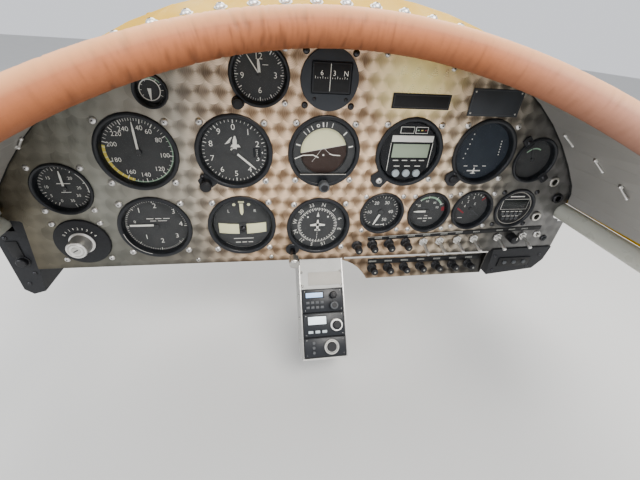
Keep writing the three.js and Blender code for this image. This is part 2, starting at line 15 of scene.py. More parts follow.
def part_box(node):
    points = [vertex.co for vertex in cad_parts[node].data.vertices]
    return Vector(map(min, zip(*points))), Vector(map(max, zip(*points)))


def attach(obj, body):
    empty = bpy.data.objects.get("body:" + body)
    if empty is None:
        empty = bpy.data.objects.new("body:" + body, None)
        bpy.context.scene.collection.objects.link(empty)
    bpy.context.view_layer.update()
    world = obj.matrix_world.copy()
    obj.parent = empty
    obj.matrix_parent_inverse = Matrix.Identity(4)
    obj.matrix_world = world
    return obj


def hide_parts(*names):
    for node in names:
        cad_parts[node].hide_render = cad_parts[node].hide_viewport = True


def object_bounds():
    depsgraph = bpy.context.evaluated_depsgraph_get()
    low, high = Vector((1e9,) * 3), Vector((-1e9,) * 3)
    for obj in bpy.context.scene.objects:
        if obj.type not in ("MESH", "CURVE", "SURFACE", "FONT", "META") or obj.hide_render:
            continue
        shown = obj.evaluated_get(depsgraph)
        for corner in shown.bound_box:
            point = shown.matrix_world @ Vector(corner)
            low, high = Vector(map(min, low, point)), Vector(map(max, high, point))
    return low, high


bl_info = {
    "name": "Aircraft instrument panel",
    "version": (1, 0, 0),
    "blender": (4, 5, 0),
    "location": "3D View > Sidebar > Panel",
    "description": "Builds an aircraft instrument panel with its dials, switches, radios and padded coaming",
    "category": "Add Mesh",
}

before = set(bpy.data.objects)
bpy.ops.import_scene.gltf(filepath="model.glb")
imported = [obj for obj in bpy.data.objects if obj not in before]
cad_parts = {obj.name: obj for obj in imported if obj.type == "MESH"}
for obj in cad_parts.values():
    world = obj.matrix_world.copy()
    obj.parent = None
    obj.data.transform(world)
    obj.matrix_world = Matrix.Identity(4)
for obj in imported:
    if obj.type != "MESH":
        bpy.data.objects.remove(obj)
CAD_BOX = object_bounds()

# The layout point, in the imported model's frame, in millimetres
LAYOUT = Vector((3.0, 140.0, 125.7))
TO_METRES = Matrix.Scale(0.001, 4) @ Matrix.Translation(-LAYOUT)
UP = Vector((0, 0, 1))
CORNERS = ((-1, -1), (-1, 1), (1, -1), (1, 1))

# The arched shell: its middle, and for each line the height at the middle and two sags at that reach from it
SHELL_X = 3.0
ARCH_REACH = 300.0
DECK_ARCH = (143.0, 83.7, 43.5)
PANEL_ARCH = (124.5, 79.5, 46.0)
ROLL_ARCH = (115.8, 87.5, 18.5)

# The padded roll: half its length, its radius and that of its leather, its place along Y at the middle, how
# much further aft it lies at the reach, and where its seam runs round it
ROLL_HALF = 320.0
ROLL_RADIUS = 14.2
ROLL_SKIN = ROLL_RADIUS - 0.25
ROLL_Y = -56.0
ROLL_SWEEP = 140.0
SEAM_TURN = -2.2

# The frame tubes: place along X with the node, and their height
TUBES = ((-347.0, "left_frame_tube"), (343.0, "right_frame_tube"))
TUBE_Z = -80.0

# The tilted switch plate: its slope, and Y and Z of its breaker row
SWITCH_SLOPE = math.atan2(8.5, 40.8)
SWITCH_ROW = (3.815, -167.09)

# The console: its slope, Y and Z of its top edge, its middle, and width, start and pitch of its units
CONSOLE_SLOPE = math.radians(42.4)
CONSOLE_TOP = (4.6, -142.0)
CONSOLE_X = 4.5
UNIT_WIDTH = 54.2
UNITS_START = 44.3
UNIT_PITCH = 31.0

# The switch rows: places along X, the upper row's middle and its rise to the right in radians
BREAKERS_UPPER = (52.1, 73.3, 96.4, 119.9)
BREAKERS_LOWER = (80.6, 103.8, 128.0, 152.9, 177.8, 203.2, 228.8)
TOGGLES = (144.9, 168.7, 194.7, 219.8, 256.5, 295.5)
UPPER_ROW = (145.0, -121.7)
ROW_RISE = 0.029

# The label strips: centre and rise of the upper one with its blank labels, and middle of the lower one
UPPER_LABEL = (193.5, -109.8, 0.036)
UPPER_BLANKS = (80.0, 100.0, 126.0, 148.0, 173.0, 195.0, 221.0, 256.0, 275.0, 295.0)
LOWER_LABEL_X = 160.0

# Instrument cases: radii of the ring and the glass well, half width and cut corner of the flange, radius of
# the body, half of the screw square and radius of the screw heads
Case = namedtuple("Case", "ring well half corner body square head")
LARGE = Case(39.7, 35.0, 41.3, 11.0, 38.0, 31.43, 3.8)
SMALL = Case(28.7, 25.0, 29.7, 9.0, 27.0, 23.8, 3.3)
MINI = Case(15.7, 12.5, 15.9, 4.0, 14.0, 0.0, 0.0)
FLANGE_LOW = -7.5
FLANGE_HIGH = -3.5
WELL_FLOOR = -5.4
GLASS_LEVEL = 0.4

# Dials: level of the face, and how far bands, marks and figures stand above it
DIAL_LEVEL = -5.0
BAND_LIFT = 0.08
MARK_LIFT = 0.12
FIGURE_LIFT = 0.14

# Edges sharper than this are shaded sharp
SHARP = math.radians(32)


class PanelFinish(bpy.types.PropertyGroup):
    """Colours and surface sizes of the panel, the coaming and the paint."""

    metal: bpy.props.FloatVectorProperty(
        name="Panel metal", description="Colour of the swirled metal", subtype="COLOR",
        size=3, min=0.0, max=1.0, default=(0.95, 0.64, 0.41))
    leather: bpy.props.FloatVectorProperty(
        name="Coaming leather", description="Colour of the padded roll", subtype="COLOR",
        size=3, min=0.0, max=1.0, default=(0.46, 0.18, 0.085))
    deck: bpy.props.FloatVectorProperty(
        name="Deck paint", description="Colour of the deck skin", subtype="COLOR",
        size=3, min=0.0, max=1.0, default=(0.56, 0.33, 0.002))
    lining: bpy.props.FloatVectorProperty(
        name="Lining paint", description="Colour of the side linings", subtype="COLOR",
        size=3, min=0.0, max=1.0, default=(0.24, 0.24, 0.228))
    swirl_pitch: bpy.props.FloatProperty(
        name="Swirl pitch", description="Distance between two swirls of the panel",
        subtype="DISTANCE", unit="LENGTH", min=0.004, max=0.03, default=0.0162)
    wrinkle: bpy.props.FloatProperty(
        name="Wrinkle depth", description="Depth of the wrinkles in the padded roll, in millimetres",
        min=0.0, max=1.5, default=0.35)


class PanelStage(bpy.types.PropertyGroup):
    """Floor, sky and lamps."""

    floor: bpy.props.FloatVectorProperty(
        name="Floor", description="Colour of the floor", subtype="COLOR",
        size=3, min=0.0, max=1.0, default=(0.55, 0.55, 0.54))
    sky: bpy.props.FloatProperty(
        name="Sky", description="Strength of the even light from all round", min=0.0, max=5.0, default=0.6)
    key: bpy.props.FloatProperty(
        name="Key lamp", description="Power of the large soft lamp", subtype="POWER",
        unit="POWER", min=0.0, max=500.0, default=23.0)
    lens: bpy.props.FloatProperty(
        name="Lens", description="Focal length of the camera", subtype="DISTANCE_CAMERA",
        min=10.0, max=100.0, default=18.427)


# Materials

NOISE_ROUGHNESS = 0.55
GRAIN_SCALE = 1500.0


class Graph:
    """One material and short calls for its nodes."""

    def __init__(self, name):
        self.material = bpy.data.materials.new(name)
        self.material.use_nodes = True
        self.tree = self.material.node_tree
        self.shader = self.tree.nodes["Principled BSDF"]
        self.where = self.node("ShaderNodeTexCoord").outputs["Object"]

    def node(self, kind, **settings):
        made = self.tree.nodes.new(kind)
        for key, value in settings.items():
            setattr(made, key, value)
        return made

    def feed(self, socket, value):
        if isinstance(value, bpy.types.NodeSocket):
            self.tree.links.new(value, socket)
        else:
            socket.default_value = value

    def math(self, operation, a, b=0.0, c=0.0):
        made = self.node("ShaderNodeMath", operation=operation)
        for socket, value in zip(made.inputs, (a, b, c)):
            self.feed(socket, value)
        return made.outputs[0]

    def vector(self, operation, a, b=(0.0, 0.0, 0.0), output=0):
        made = self.node("ShaderNodeVectorMath", operation=operation)
        self.feed(made.inputs[0], a)
        self.feed(made.inputs[1], b)
        return made.outputs[output]

    def times(self, a, b):
        return self.math("MULTIPLY", a, b)

    def scaled(self, value, factor, shift):
        return self.math("MULTIPLY_ADD", value, factor, shift)

    def parts(self, value):
        made = self.node("ShaderNodeSeparateXYZ")
        self.feed(made.inputs[0], value)
        return made.outputs[0], made.outputs[1], made.outputs[2]

    def join(self, x, z, y=0.0):
        made = self.node("ShaderNodeCombineXYZ")
        for socket, value in zip(made.inputs, (x, y, z)):
            self.feed(socket, value)
        return made.outputs[0]

    def texture(self, kind, scale, **settings):
        made = self.node(kind, **settings)
        self.feed(made.inputs["Vector"], self.where)
        made.inputs["Scale"].default_value = scale
        return made

    def noise(self, scale, detail=3.0):
        made = self.texture("ShaderNodeTexNoise", scale)
        made.inputs["Detail"].default_value = detail
        made.inputs["Roughness"].default_value = NOISE_ROUGHNESS
        return made.outputs["Fac"]

    def spread(self, value, low, high, start=0.25, stop=0.75):
        made = self.node("ShaderNodeMapRange")
        self.feed(made.inputs["Value"], value)
        made.inputs["From Min"].default_value = start
        made.inputs["From Max"].default_value = stop
        made.inputs["To Min"].default_value = low
        made.inputs["To Max"].default_value = high
        return made.outputs["Result"]

    def mix(self, factor, a, b):
        made = self.node("ShaderNodeMix", data_type="RGBA")
        self.feed(made.inputs[0], factor)
        self.feed(made.inputs[6], a)
        self.feed(made.inputs[7], b)
        return made.outputs[2]

    def bump(self, height, distance, strength=1.0, before=None):
        made = self.node("ShaderNodeBump")
        made.inputs["Strength"].default_value = strength
        made.inputs["Distance"].default_value = distance
        self.feed(made.inputs["Height"], height)
        if before:
            self.feed(made.inputs["Normal"], before)
        return made.outputs["Normal"]

    def set(self, **values):
        for key, value in values.items():
            self.feed(self.shader.inputs[key.replace("_", " ")], value)


def rgba(colour, factor=1.0):
    return tuple(min(part * factor, 1.0) for part in colour[:3]) + (1.0,)


def coated(name, colour, rough, cloud, cloud_scale, metal=0.0, grain=0.00002):
    """Paint, plastic or bare metal with a slight cloudiness and a fine surface grain."""
    g = Graph(name)
    clouds = g.mix(g.noise(cloud_scale), rgba(colour, 1.0 - cloud), rgba(colour, 1.0 + cloud))
    mottled = g.spread(g.noise(cloud_scale * 3.0), max(rough - 0.07, 0.04), min(rough + 0.09, 1.0))
    g.set(Base_Color=clouds, Roughness=mottled, Metallic=metal, Normal=g.bump(g.noise(GRAIN_SCALE, 2.0), grain))
    return g.material


# Painted reflection of the surroundings, as a tint of the metal from left to right: X in metres and colour,
# None for the set colour
SHEEN = (
    (-0.33, (0.27, 0.24, 0.18)), (-0.24, (0.38, 0.38, 0.34)), (-0.15, (0.46, 0.42, 0.36)), (-0.08, None),
    (0.10, None), (0.15, (0.80, 0.62, 0.44)), (0.195, (0.44, 0.39, 0.33)), (0.235, (0.19, 0.188, 0.18)),
    (0.29, (0.36, 0.36, 0.36)),
)
# Pattern of the swirls, in pitches: shift from row to row, height of a row, radius of a disc, unevenness
SWIRL_SHIFT = 0.27
SWIRL_ROW = 0.97
SWIRL_COVER = 0.66
SWIRL_DRIFT = 0.12
# Where the swirls and their painted reflection give way to plain sheet to the left and to the right, and
# where painted shade darkens the sheet low down, in metres
FADE_LEFT = (-0.19, -0.11)
FADE_RIGHT = (0.20, 0.25)
SHADE_LOW = (-0.255, -0.165)
SHADE_LIP = (-0.275, -0.262)
# The bright reflection: its place, its inner and outer radius in metres, and its colour
GLARE = (0.09, -0.14, -0.046)
GLARE_REACH = (0.014, 0.060)
GLARE_COLOUR = (1.0, 0.88, 0.44, 1.0)
# The lit side of a swirl is mixed with this colour, and its dark side is the tint times this factor
SWIRL_PALE = (1.0, 0.91, 0.76, 1.0)
SWIRL_DARK = 0.27


def swirl_cells(g, pitch):
    """The way from the centre of the disc that covers a spot, in pitches, and that disc's number."""
    across, down = 1.0 / pitch, 1.0 / pitch * SWIRL_ROW
    wobble = g.texture("ShaderNodeTexNoise", 60.0).outputs["Color"]
    drift = g.vector("MULTIPLY", wobble, (SWIRL_DRIFT, 0.0, SWIRL_DRIFT))
    grid = g.parts(g.vector("ADD", g.vector("MULTIPLY", g.where, (across, 0.0, down)), drift))
    first_row = g.math("FLOOR", grid[2])
    arm = None
    for step in (0.0, 1.0):
        row = g.math("ADD", first_row, step)
        along = g.scaled(row, -SWIRL_SHIFT, grid[0])
        cell = g.math("FLOOR", along)
        for corner in (0.0, 1.0):
            spot = g.math("ADD", cell, corner)
            other = g.join(g.math("SUBTRACT", along, spot), g.math("SUBTRACT", grid[2], row))
            number = g.join(spot, row)
            if arm is None:
                arm, centre = other, number
                continue
            covers = g.math("LESS_THAN", g.vector("LENGTH", other, output=1), SWIRL_COVER)
            arm = g.mix(covers, arm, other)
            centre = g.mix(covers, centre, number)
    return arm, centre


def metal_tint(g, far, metal):
    """Painted reflection: colour of the sheet from left to right, standing in for the changing surroundings
    it mirrors.
    """
    left, right = SHEEN[0][0], SHEEN[-1][0]
    tints = g.node("ShaderNodeValToRGB")
    ramp = tints.color_ramp
    for x, _ in SHEEN[1:-1]:
        ramp.elements.new((x - left) / (right - left))
    for element, (_, colour) in zip(ramp.elements, SHEEN):
        element.color = rgba(colour or metal)
    g.feed(tints.inputs[0], g.spread(far, 0.0, 1.0, left, right))
    return tints.outputs[0]


def swirled_metal(name):
    """Engine-turned sheet: rows of overlapping discs, each brushed round its own centre, with painted
    reflections on the discs and across the sheet, a painted glare and painted shade low down.
    """
    look = bpy.context.scene.panel_finish
    g = Graph(name)
    arm, centre = swirl_cells(g, look.swirl_pitch)
    across, _, up = g.parts(arm)
    reach = g.vector("LENGTH", arm, output=1)
    chance = g.node("ShaderNodeTexWhiteNoise")
    g.feed(chance.inputs["Vector"], centre)
    luck = chance.outputs["Value"]
    angle = g.math("ADD", g.math("ARCTAN2", up, across), g.scaled(luck, 0.5, -0.25))
    # Painted reflection: each disc is lit above and below its centre and dark to either side, as brushed
    # metal mirrors the light
    bow = g.times(g.math("COSINE", g.times(angle, 2.0)), -1.0)
    rings = g.math("SINE", g.scaled(reach, 60.0, g.times(luck, 6.0)))
    far, _, height = g.parts(g.where)
    plain = g.times(g.spread(far, 0.12, 1.0, *FADE_LEFT), g.spread(far, 1.0, 0.18, *FADE_RIGHT))
    depth = g.times(g.spread(reach, 0.35, 1.0, 0.02, 0.3), plain)
    light = g.scaled(g.times(bow, depth), 0.46, 0.5)
    light = g.scaled(g.times(rings, plain), 0.06, light)
    light = g.scaled(g.math("SUBTRACT", g.parts(chance.outputs["Color"])[1], 0.5), 0.16, light)
    gleam = g.spread(g.vector("DISTANCE", g.where, GLARE, output=1), 1.0, 0.0, *GLARE_REACH)
    light = g.scaled(gleam, 0.5, light)
    # Painted shade: the sheet darkens low down, in two steps
    shade = g.times(g.spread(height, 0.70, 1.0, *SHADE_LOW), g.spread(height, 0.62, 1.0, *SHADE_LIP))
    patina_and_shade = g.times(g.spread(g.noise(14.0), 0.90, 1.10), shade)
    sheen = metal_tint(g, far, look.metal)
    dark = g.vector("SCALE", sheen)
    dark.node.inputs["Scale"].default_value = SWIRL_DARK
    pale = g.mix(plain, sheen, g.mix(0.34, sheen, SWIRL_PALE))
    # The swirls' colour between the dark and lit sides of their painted reflection, times the random tone
    # and the painted shade
    mottled = g.vector("MULTIPLY", g.mix(light, dark, pale), g.join(patina_and_shade, patina_and_shade, patina_and_shade))
    g.set(Base_Color=g.mix(g.times(gleam, 0.85), mottled, GLARE_COLOUR), Roughness=g.scaled(light, -0.14, 0.46))
    g.set(Metallic=0.85, Anisotropic=0.5, Tangent=g.vector("NORMALIZE", g.join(g.times(up, -1.0), across)))
    g.set(Normal=g.bump(rings, 0.00002, 0.5))
    return g.material


# Leather: its colour towards the right end, and the colour of the painted highlight along its top
LEATHER_RIGHT = (0.42, 0.30, 0.265, 1.0)
LEATHER_TOP_HIGHLIGHT = (0.95, 0.58, 0.32, 1.0)


def coaming_leather(name):
    """Tan leather: pebbled grain, fine creases round the girth, darker in the creases, with a painted
    highlight on top and painted shade underneath.
    """
    leather = bpy.context.scene.panel_finish.leather
    g = Graph(name)
    crease = g.node("ShaderNodeAttribute", attribute_name="crease").outputs["Fac"]
    height = g.node("ShaderNodeAttribute", attribute_name="girth_height").outputs["Fac"]
    base = g.mix(g.noise(9.0, 4.0), rgba(leather, 0.84), rgba(leather, 1.2))
    base = g.mix(g.spread(g.parts(g.where)[0], 0.0, 0.85, 0.10, 0.29), base, LEATHER_RIGHT)
    base = g.mix(g.times(crease, 0.5), base, rgba(leather, 0.40))
    # Painted highlight along the top of the roll, and painted shade on its underside
    top_highlighted = g.mix(g.spread(height, 0.0, 0.55, 0.70, 1.0), base, LEATHER_TOP_HIGHLIGHT)
    below = g.mix(0.62, base, rgba(leather, 0.16))
    g.set(Base_Color=g.mix(g.spread(height, 0.60, 0.0, 0.10, 0.62), top_highlighted, below))
    g.set(Roughness=g.spread(g.noise(35.0), 0.48, 0.66), Specular_IOR_Level=0.3)
    g.set(Coat_Weight=0.06, Coat_Roughness=0.38)
    pebble = g.texture("ShaderNodeTexVoronoi", 620.0, feature="DISTANCE_TO_EDGE")
    grain = g.bump(pebble.outputs["Distance"], 0.00012, 0.5)
    g.set(Normal=g.bump(g.noise(240.0, 4.0), 0.00025, 0.6, grain))
    return g.material


def clear_glass(name):
    """Dial glass: clear when looked through, and reflecting at a shallow angle."""
    g = Graph(name)
    edge = g.node("ShaderNodeLayerWeight")
    edge.inputs["Blend"].default_value = 0.25
    g.set(Base_Color=(0.02, 0.02, 0.02, 1.0), Roughness=0.05)
    g.set(Alpha=g.spread(edge.outputs["Fresnel"], 0.02, 0.35, 0.0, 0.8))
    return g.material


def lit_display(name, colour, power):
    """A display that gives off a little light of its own, with faint rows of dots."""
    g = Graph(name)
    rows = g.texture("ShaderNodeTexWave", 420.0, bands_direction="Z")
    shade = g.mix(g.spread(rows.outputs["Fac"], 0.0, 0.25, 0.0, 1.0), rgba(colour), rgba(colour, 0.8))
    g.set(Base_Color=shade, Emission_Color=shade, Emission_Strength=power, Roughness=0.25)
    return g.material


def yellow_enamel(name):
    return coated(name, bpy.context.scene.panel_finish.deck, 0.48, 0.08, 12.0)


def lining_paint(name):
    return coated(name, bpy.context.scene.panel_finish.lining, 0.5, 0.16, 16.0, grain=0.0001)


# name: colour, roughness, cloudiness, cloud scale
COATS = {
    "black_enamel": ((0.022, 0.024, 0.028), 0.34, 0.2, 60.0),
    "black_crackle": ((0.020, 0.021, 0.024), 0.55, 0.3, 260.0),
    "case_grey": ((0.10, 0.105, 0.11), 0.5, 0.2, 60.0),
    "dial_black": ((0.078, 0.080, 0.081), 0.6, 0.2, 120.0),
    "dial_slate": ((0.040, 0.052, 0.070), 0.5, 0.2, 90.0),
    "dial_pale_green": ((0.42, 0.60, 0.44), 0.6, 0.1, 120.0),
    "dial_brown": ((0.075, 0.050, 0.042), 0.6, 0.15, 90.0),
    "dial_white": ((0.94, 0.93, 0.86), 0.6, 0.05, 200.0),
    "dial_cream": ((0.96, 0.93, 0.62), 0.55, 0.06, 60.0),
    "dial_yellow": ((0.85, 0.72, 0.18), 0.6, 0.08, 200.0),
    "dial_red": ((0.34, 0.05, 0.06), 0.6, 0.1, 200.0),
    "knob_black": ((0.018, 0.018, 0.020), 0.42, 0.25, 150.0),
    "button_pale": ((0.50, 0.56, 0.58), 0.5, 0.08, 150.0),
    "label_black": ((0.012, 0.012, 0.013), 0.5, 0.2, 90.0),
    "placard_grey": ((0.045, 0.050, 0.058), 0.45, 0.2, 40.0),
    "seal_rubber": ((0.02, 0.02, 0.02), 0.8, 0.3, 120.0),
    "bright_steel": ((0.92, 0.88, 0.80), 0.20, 0.10, 150.0),
    "satin_steel": ((0.55, 0.54, 0.51), 0.36, 0.12, 90.0),
    "dark_steel": ((0.09, 0.09, 0.095), 0.38, 0.2, 120.0),
    "brass": ((0.62, 0.44, 0.18), 0.32, 0.1, 120.0),
    "frame_grey": ((0.27, 0.275, 0.265), 0.45, 0.1, 30.0),
    "console_grey": ((0.46, 0.46, 0.44), 0.42, 0.12, 40.0),
    "tube_white": ((0.44, 0.44, 0.39), 0.3, 0.07, 25.0),
    "label_white": ((0.44, 0.42, 0.38), 0.55, 0.06, 60.0),
    "label_grey": ((0.30, 0.30, 0.275), 0.55, 0.12, 300.0),
}
METALS = {"bright_steel", "satin_steel", "dark_steel", "brass"}
DIAL_GRAIN = 0.000004
COAT_GRAIN = 0.000012
# name: colour and strength of its own light
LIT = {
    "display_green": ((0.36, 0.42, 0.32), 0.12),
    "display_blue": ((0.30, 0.42, 0.60), 0.9),
    "display_pale": ((0.55, 0.60, 0.62), 0.9),
    "display_dark": ((0.025, 0.03, 0.03), 0.0),
}
MADE = {
    "swirled_metal": swirled_metal,
    "coaming_leather": coaming_leather,
    "clear_glass": clear_glass,
    "yellow_enamel": yellow_enamel,
    "lining_paint": lining_paint,
}


def finish(name):
    """The material of that name, made the first time it is asked for."""
    found = bpy.data.materials.get(name)
    if found:
        return found
    if name in MADE:
        return MADE[name](name)
    if name in LIT:
        return lit_display(name, *LIT[name])
    colour, rough, cloud, scale = COATS[name]
    grain = DIAL_GRAIN if name.startswith("dial") else COAT_GRAIN
    return coated(name, colour, rough, cloud, scale, float(name in METALS), grain)


def paint_node(node, name):
    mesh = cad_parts[node].data
    mesh.materials.clear()
    mesh.materials.append(finish(name))


# Shapes. Each call gives a bmesh in millimetres, with Z out of the face that it will sit on.


def turned(profile, steps):
    """A solid turned about Z from (radius, height) pairs."""
    bm = bmesh.new()
    verts = [bm.verts.new((r, 0.0, z)) for r, z in profile]
    edges = [bm.edges.new(pair) for pair in zip(verts, verts[1:])]
    bmesh.ops.spin(bm, geom=verts + edges, cent=(0, 0, 0), axis=(0, 0, 1), angle=2 * math.pi, steps=steps,
                   use_merge=True)
    bmesh.ops.remove_doubles(bm, verts=bm.verts, dist=1e-4)
    bmesh.ops.recalc_face_normals(bm, faces=bm.faces)
    return bm


def ease(bm, edges, offset, segments=2):
    """Rounds those edges."""
    bmesh.ops.bevel(bm, geom=edges, offset=offset, segments=segments, profile=0.5, affect="EDGES",
                    material=-1)


def block(width, height, low, high, bevel, segments=2, x=0.0, y=0.0):
    """A box centred on x, y from low to high, with its edges eased."""
    bm = bmesh.new()
    bmesh.ops.create_cube(bm, size=1.0)
    bmesh.ops.scale(bm, vec=(width, height, high - low), verts=bm.verts)
    bmesh.ops.translate(bm, vec=(x, y, (low + high) / 2), verts=bm.verts)
    if bevel:
        ease(bm, bm.edges, bevel, segments)
    return bm


def hex_nut(radius, height, middle, bevel):
    """A six-sided nut, its height centred on middle."""
    bm = bmesh.new()
    bmesh.ops.create_cone(bm, cap_ends=True, segments=6, radius1=radius, radius2=radius, depth=height,
                          matrix=Matrix.Translation((0, 0, middle)))
    ease(bm, bm.edges, bevel)
    return bm


def thicken(bm, faces, rise):
    """Extrudes flat faces upwards, and gives the corners of the new top."""
    grown = bmesh.ops.extrude_face_region(bm, geom=faces)
    top = [item for item in grown["geom"] if isinstance(item, bmesh.types.BMVert)]
    bmesh.ops.translate(bm, vec=(0, 0, rise), verts=top)
    bmesh.ops.recalc_face_normals(bm, faces=bm.faces)
    return top


def sheet(points, low, high, bevel=0.3):
    """A flat plate of that outline, from low to high."""
    bm = bmesh.new()
    face = bm.faces.new([bm.verts.new((x, y, low)) for x, y in points])
    top = thicken(bm, [face], high - low)
    if bevel:
        ease(bm, [edge for edge in bm.edges if all(vert in top for vert in edge.verts)], bevel)
    return bm


def open_plate(half, corner, hole, low, high):
    """A square plate with cut corners and a round hole."""
    bm = bmesh.new()
    count, at = 96, Matrix.Translation((0, 0, low))
    for vert in bmesh.ops.create_circle(bm, segments=count, radius=half, matrix=at)["verts"]:
        c, s = abs(vert.co.x) / half, abs(vert.co.y) / half
        reach = min(1 / max(c, s), (2 - corner / half) / (c + s))
        vert.co.x *= reach
        vert.co.y *= reach
    bmesh.ops.create_circle(bm, segments=count, radius=hole, matrix=at)
    thicken(bm, bmesh.ops.bridge_loops(bm, edges=bm.edges[:])["faces"], high - low)
    return bm


def disc(radius, level, steps=64, x=0.0, y=0.0):
    bm = bmesh.new()
    bmesh.ops.create_circle(bm, cap_ends=True, segments=steps, radius=radius,
                            matrix=Matrix.Translation((x, y, level)))
    return bm


def patch(points, level):
    """A flat shape from its corners, which run anticlockwise."""
    bm = bmesh.new()
    bm.faces.new([bm.verts.new((x, y, level)) for x, y in points])
    return bm


def clock_spot(radius, angle):
    """A spot on a dial: angle in degrees clockwise from the top."""
    a = math.radians(angle)
    return radius * math.sin(a), radius * math.cos(a)


def band(inner, outer, start, stop, level):
    """Part of a flat ring, clockwise from start to stop in degrees."""
    bm = bmesh.new()
    verts = [bm.verts.new((*clock_spot(r, start), level)) for r in (inner, outer)]
    edge = bm.edges.new(verts)
    steps = max(int(abs(stop - start) / 5), 2)
    bmesh.ops.spin(bm, geom=verts + [edge], cent=(0, 0, 0), axis=(0, 0, -1),
                   angle=math.radians(stop - start), steps=steps, use_merge=False)
    for face in bm.faces:
        if face.normal.z < 0:
            face.normal_flip()
    return bm


def shifted(part, x, y, z=0.0):
    part.transform(Matrix.Translation((x, y, z)))
    return part


def spun(part, angle):
    """The part turned by an angle in degrees, clockwise."""
    part.transform(Matrix.Rotation(-math.radians(angle), 4, "Z"))
    return part


def upright(width, low, high):
    """Corners of a rectangle centred on the Y axis."""
    return [(-width / 2, low), (width / 2, low), (width / 2, high), (-width / 2, high)]


def strip(a, b, width):
    """Corners of a straight strip between two spots."""
    along = Vector((b[0] - a[0], b[1] - a[1])).normalized() * width / 2
    nx, ny = -along.y, along.x
    return [(a[0] - nx, a[1] - ny), (b[0] - nx, b[1] - ny), (b[0] + nx, b[1] + ny), (a[0] + nx, a[1] + ny)]


def bar(a, b, width, level):
    """A thin flat bar between two spots."""
    return sheet(strip(a, b, width), level, level + 0.4, 0)


def mark(width, inner, outer, angle, level):
    """A flat mark that points away from the dial's centre."""
    return spun(patch(upright(width, inner, outer), level), angle)


LETTERING = {}


def lettering(text, height, x, y, level, turn=0.0):
    """Flat figures centred on x, y, with capitals of that height, turned clockwise."""
    if text not in LETTERING:
        curve = bpy.data.curves.new("lettering", "FONT")
        curve.body = text
        curve.align_x = "CENTER"
        curve.align_y = "CENTER"
        curve.resolution_u = 3
        holder = bpy.data.objects.new("lettering", curve)
        bpy.context.scene.collection.objects.link(holder)
        evaluated = holder.evaluated_get(bpy.context.evaluated_depsgraph_get())
        LETTERING[text] = bpy.data.meshes.new_from_object(evaluated)
        bpy.data.objects.remove(holder)
        bpy.data.curves.remove(curve)
    bm = bmesh.new()
    bm.from_mesh(LETTERING[text])
    low = min(v.co.y for v in bm.verts)
    high = max(v.co.y for v in bm.verts)
    size = height / (high - low)
    shifted(bm, 0, -(low + high) / 2)
    bm.transform(Matrix.Diagonal((size, size, 1.0, 1.0)))
    return shifted(spun(bm, turn), x, y, level)


class Piece:
    """One object in the making, with the finishes it uses."""

    def __init__(self, name):
        self.name = name
        self.bm = bmesh.new()
        self.finishes = []

    def add(self, part, place, name):
        if name not in self.finishes:
            self.finishes.append(name)
        for face in part.faces:
            face.material_index = self.finishes.index(name)
            face.smooth = True
        part.transform(place)
        mesh = bpy.data.meshes.new("part")
        part.to_mesh(mesh)
        part.free()
        self.bm.from_mesh(mesh)
        bpy.data.meshes.remove(mesh)

    def turn(self, profile, steps, place, name):
        self.add(turned(profile, steps), place, name)

    def done(self, slot, *replaced):
        mesh = plain_mesh(self.name, self.bm, self.finishes)
        mesh.set_sharp_from_angle(angle=SHARP)
        return settle(mesh, slot, *replaced)


def plain_mesh(name, bm, finishes):
    """A mesh in metres and in the model's frame, with those finishes."""
    bm.transform(TO_METRES)
    mesh = bpy.data.meshes.new(name)
    bm.to_mesh(mesh)
    bm.free()
    for item in finishes:
        mesh.materials.append(finish(item))
    return mesh


def settle(mesh, slot, *replaced):
    """Puts a mesh into the scene under the root."""
    made = bpy.data.objects.new(mesh.name, mesh)
    bpy.context.scene.collection.objects.link(made)
    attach(made, "root")
    if replaced:
        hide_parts(*replaced)
    return made


# Places. Each call gives a matrix in the layout, in millimetres.


def on_panel(x, z, proud=0.0):
    """Place of a spot on the panel's face: X right, Y up, Z towards the pilot."""
    return Matrix(((1, 0, 0, x), (0, 0, -1, -proud), (0, 1, 0, z), (0, 0, 0, 1)))


def on_slope(x, y, z, slope):
    """Place of a spot on a face that leans back at its top by that slope."""
    s, c = math.sin(slope), math.cos(slope)
    return Matrix(((1, 0, 0, x), (0, s, -c, y), (0, c, s, z), (0, 0, 0, 1)))


def on_console(x, along):
    """Place of a spot on the console, by its distance down the slope."""
    s, c = math.sin(CONSOLE_SLOPE), math.cos(CONSOLE_SLOPE)
    return on_slope(x, CONSOLE_TOP[0] - along * s, CONSOLE_TOP[1] - along * c, CONSOLE_SLOPE)


def moved(place, x, y, z=0.0):
    return place @ Matrix.Translation((x, y, z))


def rolled(place, angle):
    """The place turned about its own Z, by radians anticlockwise."""
    return place @ Matrix.Rotation(angle, 4, "Z")


def facing(x_axis, y_axis, z_axis, spot):
    """Place at a spot, with those three axes."""
    place = Matrix((x_axis, y_axis, z_axis)).transposed().to_4x4()
    place.translation = spot
    return place


def arch(shape, x):
    crown, sag2, sag4 = shape
    return crown - sag2 * (x / ARCH_REACH) ** 2 - sag4 * (x / ARCH_REACH) ** 4


def rise_of(shape, x):
    return (arch(shape, x + 1) - arch(shape, x - 1)) / 2


def on_arch(shape, x, y, outward=1.0):
    """Place of a spot on an arched skin, Z along its normal."""
    normal = Vector((-rise_of(shape, x), 0, 1)).normalized() * outward
    ahead = Vector((0, 1, 0))
    return facing(ahead.cross(normal), ahead, normal, (x + SHELL_X, y, arch(shape, x)))


def layout_box(node):
    """Two corners of a node in the layout."""
    return [corner * 1000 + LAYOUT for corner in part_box(node)]


def at_node(node):
    """Place on the panel's face at the middle of a node."""
    low, high = layout_box(node)
    return on_panel((low.x + high.x) / 2, (low.z + high.z) / 2)


